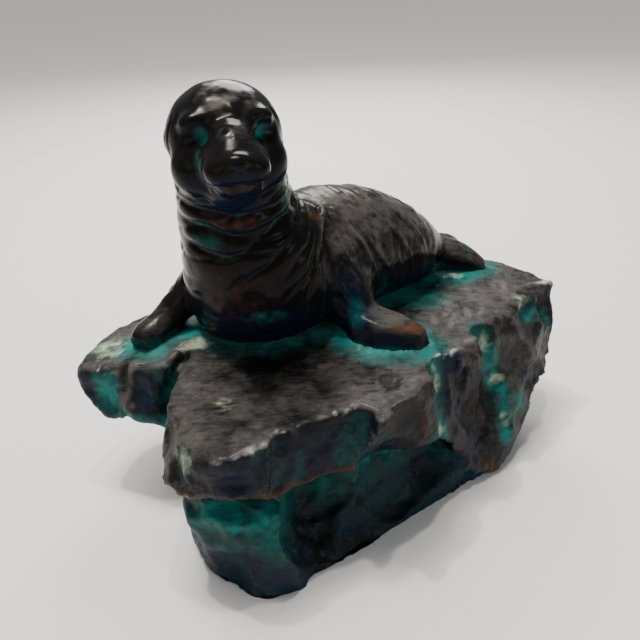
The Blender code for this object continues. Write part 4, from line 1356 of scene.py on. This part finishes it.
class FIGURINE_OT_stage(bpy.types.Operator):
    """Sets the pale floor, the soft lights and the camera of the studio"""

    bl_idname = "figurine.stage"
    bl_label = "Stage"

    def execute(self, context):
        scene = context.scene
        self.floor()
        self.world(scene)
        self.light("overhead", (-0.16, 0.12, 0.95), 0.24, 5.0, (1.0, 0.97, 0.93))
        self.sky()
        self.light("lamp", (-0.29, 0.12, 1.05), 0.035, 4.8, (1.0, 0.95, 0.88))
        self.light("second_lamp", (0.02, 0.02, 1.05), 0.035, 3.2, (1.0, 0.95, 0.88))
        self.light("wall", (0.0, 0.75, 0.62), 0.50, 9.0, (1.0, 0.97, 0.94))
        self.light("window", (0.75, -0.45, 0.40), 0.35, 1.2, (0.80, 0.90, 1.0))
        self.light("fill", (-0.55, -0.75, 0.50), 0.60, 1.1, (1.0, 0.98, 0.96))
        self.camera(scene)
        return {"FINISHED"}

    def floor(self):
        mesh = bpy.data.meshes.new("floor")
        half = 9.0
        corners = [(-half, -half, 0), (half, -half, 0), (half, half, 0), (-half, half, 0)]
        mesh.from_pydata(corners, [], [(0, 1, 2, 3)])
        piece = placed("floor", mesh)
        paper = bpy.data.materials.new("paper")
        paper.use_nodes = True
        shader = paper.node_tree.nodes["Principled BSDF"]
        shader.inputs["Base Color"].default_value = (0.72, 0.70, 0.67, 1.0)
        shader.inputs["Roughness"].default_value = 0.85
        mesh.materials.append(paper)
        return piece

    def world(self, scene):
        world = bpy.data.worlds.new("studio")
        world.use_nodes = True
        back = world.node_tree.nodes["Background"]
        back.inputs["Color"].default_value = (0.86, 0.87, 0.90, 1.0)
        back.inputs["Strength"].default_value = 0.30
        scene.world = world

    def light(self, name, place, size, power, tint):
        """A round lamp of that width in metres and power in watts, aimed at the figurine."""
        data = bpy.data.lights.new(name, "AREA")
        data.shape = "DISK"
        data.size = size
        data.energy = power
        data.color = tint
        lamp = placed(name, data)
        lamp.location = place
        aim = LAMPS_AIM - Vector(place)
        lamp.rotation_euler = aim.to_track_quat("-Z", "Y").to_euler()

    def sky(self):
        """A broad even light from above, so that the floor is lit to its far edge."""
        data = bpy.data.lights.new("ceiling", "SUN")
        data.energy = 1.5
        data.angle = np.radians(28.0)
        data.color = (1.0, 0.98, 0.95)
        lamp = placed("ceiling", data)
        lamp.rotation_euler = Vector((0.20, -0.14, -1.0)).to_track_quat("-Z", "Y").to_euler()

    def camera(self, scene):
        data = bpy.data.cameras.new("camera")
        data.sensor_width = 36.0
        data.lens = FOCAL_PX / FRAME_PX * data.sensor_width
        data.clip_start = 0.005
        camera = placed("camera", data)
        camera.location = CAMERA_AT
        pitch, roll = np.radians(CAMERA_PITCH), np.radians(CAMERA_ROLL)
        look = Vector((0.0, np.cos(pitch), -np.sin(pitch)))
        level_up = Vector((0.0, np.sin(pitch), np.cos(pitch)))
        right = Vector((1.0, 0.0, 0.0)) * np.cos(roll) + level_up * np.sin(roll)
        up = level_up * np.cos(roll) - Vector((1.0, 0.0, 0.0)) * np.sin(roll)
        camera.rotation_euler = Matrix((right, up, -look)).transposed().to_euler()
        scene.camera = camera


class FIGURINE_PT_panel(bpy.types.Panel):
    """Sizes, colours and steps of the figurine"""

    bl_label = "Figurine"
    bl_idname = "FIGURINE_PT_panel"
    bl_space_type = "VIEW_3D"
    bl_region_type = "UI"
    bl_category = "Figurine"

    def draw(self, context):
        layout = self.layout
        for group in (context.scene.figurine_sizes, context.scene.figurine_colours):
            column = layout.column(align=True)
            for name in group.__annotations__:
                column.prop(group, name)
        for step in STEPS:
            layout.operator(step.bl_idname)


STEPS = (FIGURINE_OT_sea_lion, FIGURINE_OT_rock, FIGURINE_OT_stage)
CLASSES = (FigurineSizes, PatinaColours, *STEPS, FIGURINE_PT_panel)


def register():
    for item in CLASSES:
        bpy.utils.register_class(item)
    bpy.types.Scene.figurine_sizes = bpy.props.PointerProperty(type=FigurineSizes)
    bpy.types.Scene.figurine_colours = bpy.props.PointerProperty(type=PatinaColours)


def unregister():
    del bpy.types.Scene.figurine_colours
    del bpy.types.Scene.figurine_sizes
    for item in reversed(CLASSES):
        bpy.utils.unregister_class(item)


def main():
    register()
    bpy.ops.figurine.sea_lion()
    bpy.ops.figurine.rock()
    bpy.ops.figurine.stage()


if __name__ == "__main__":
    main()
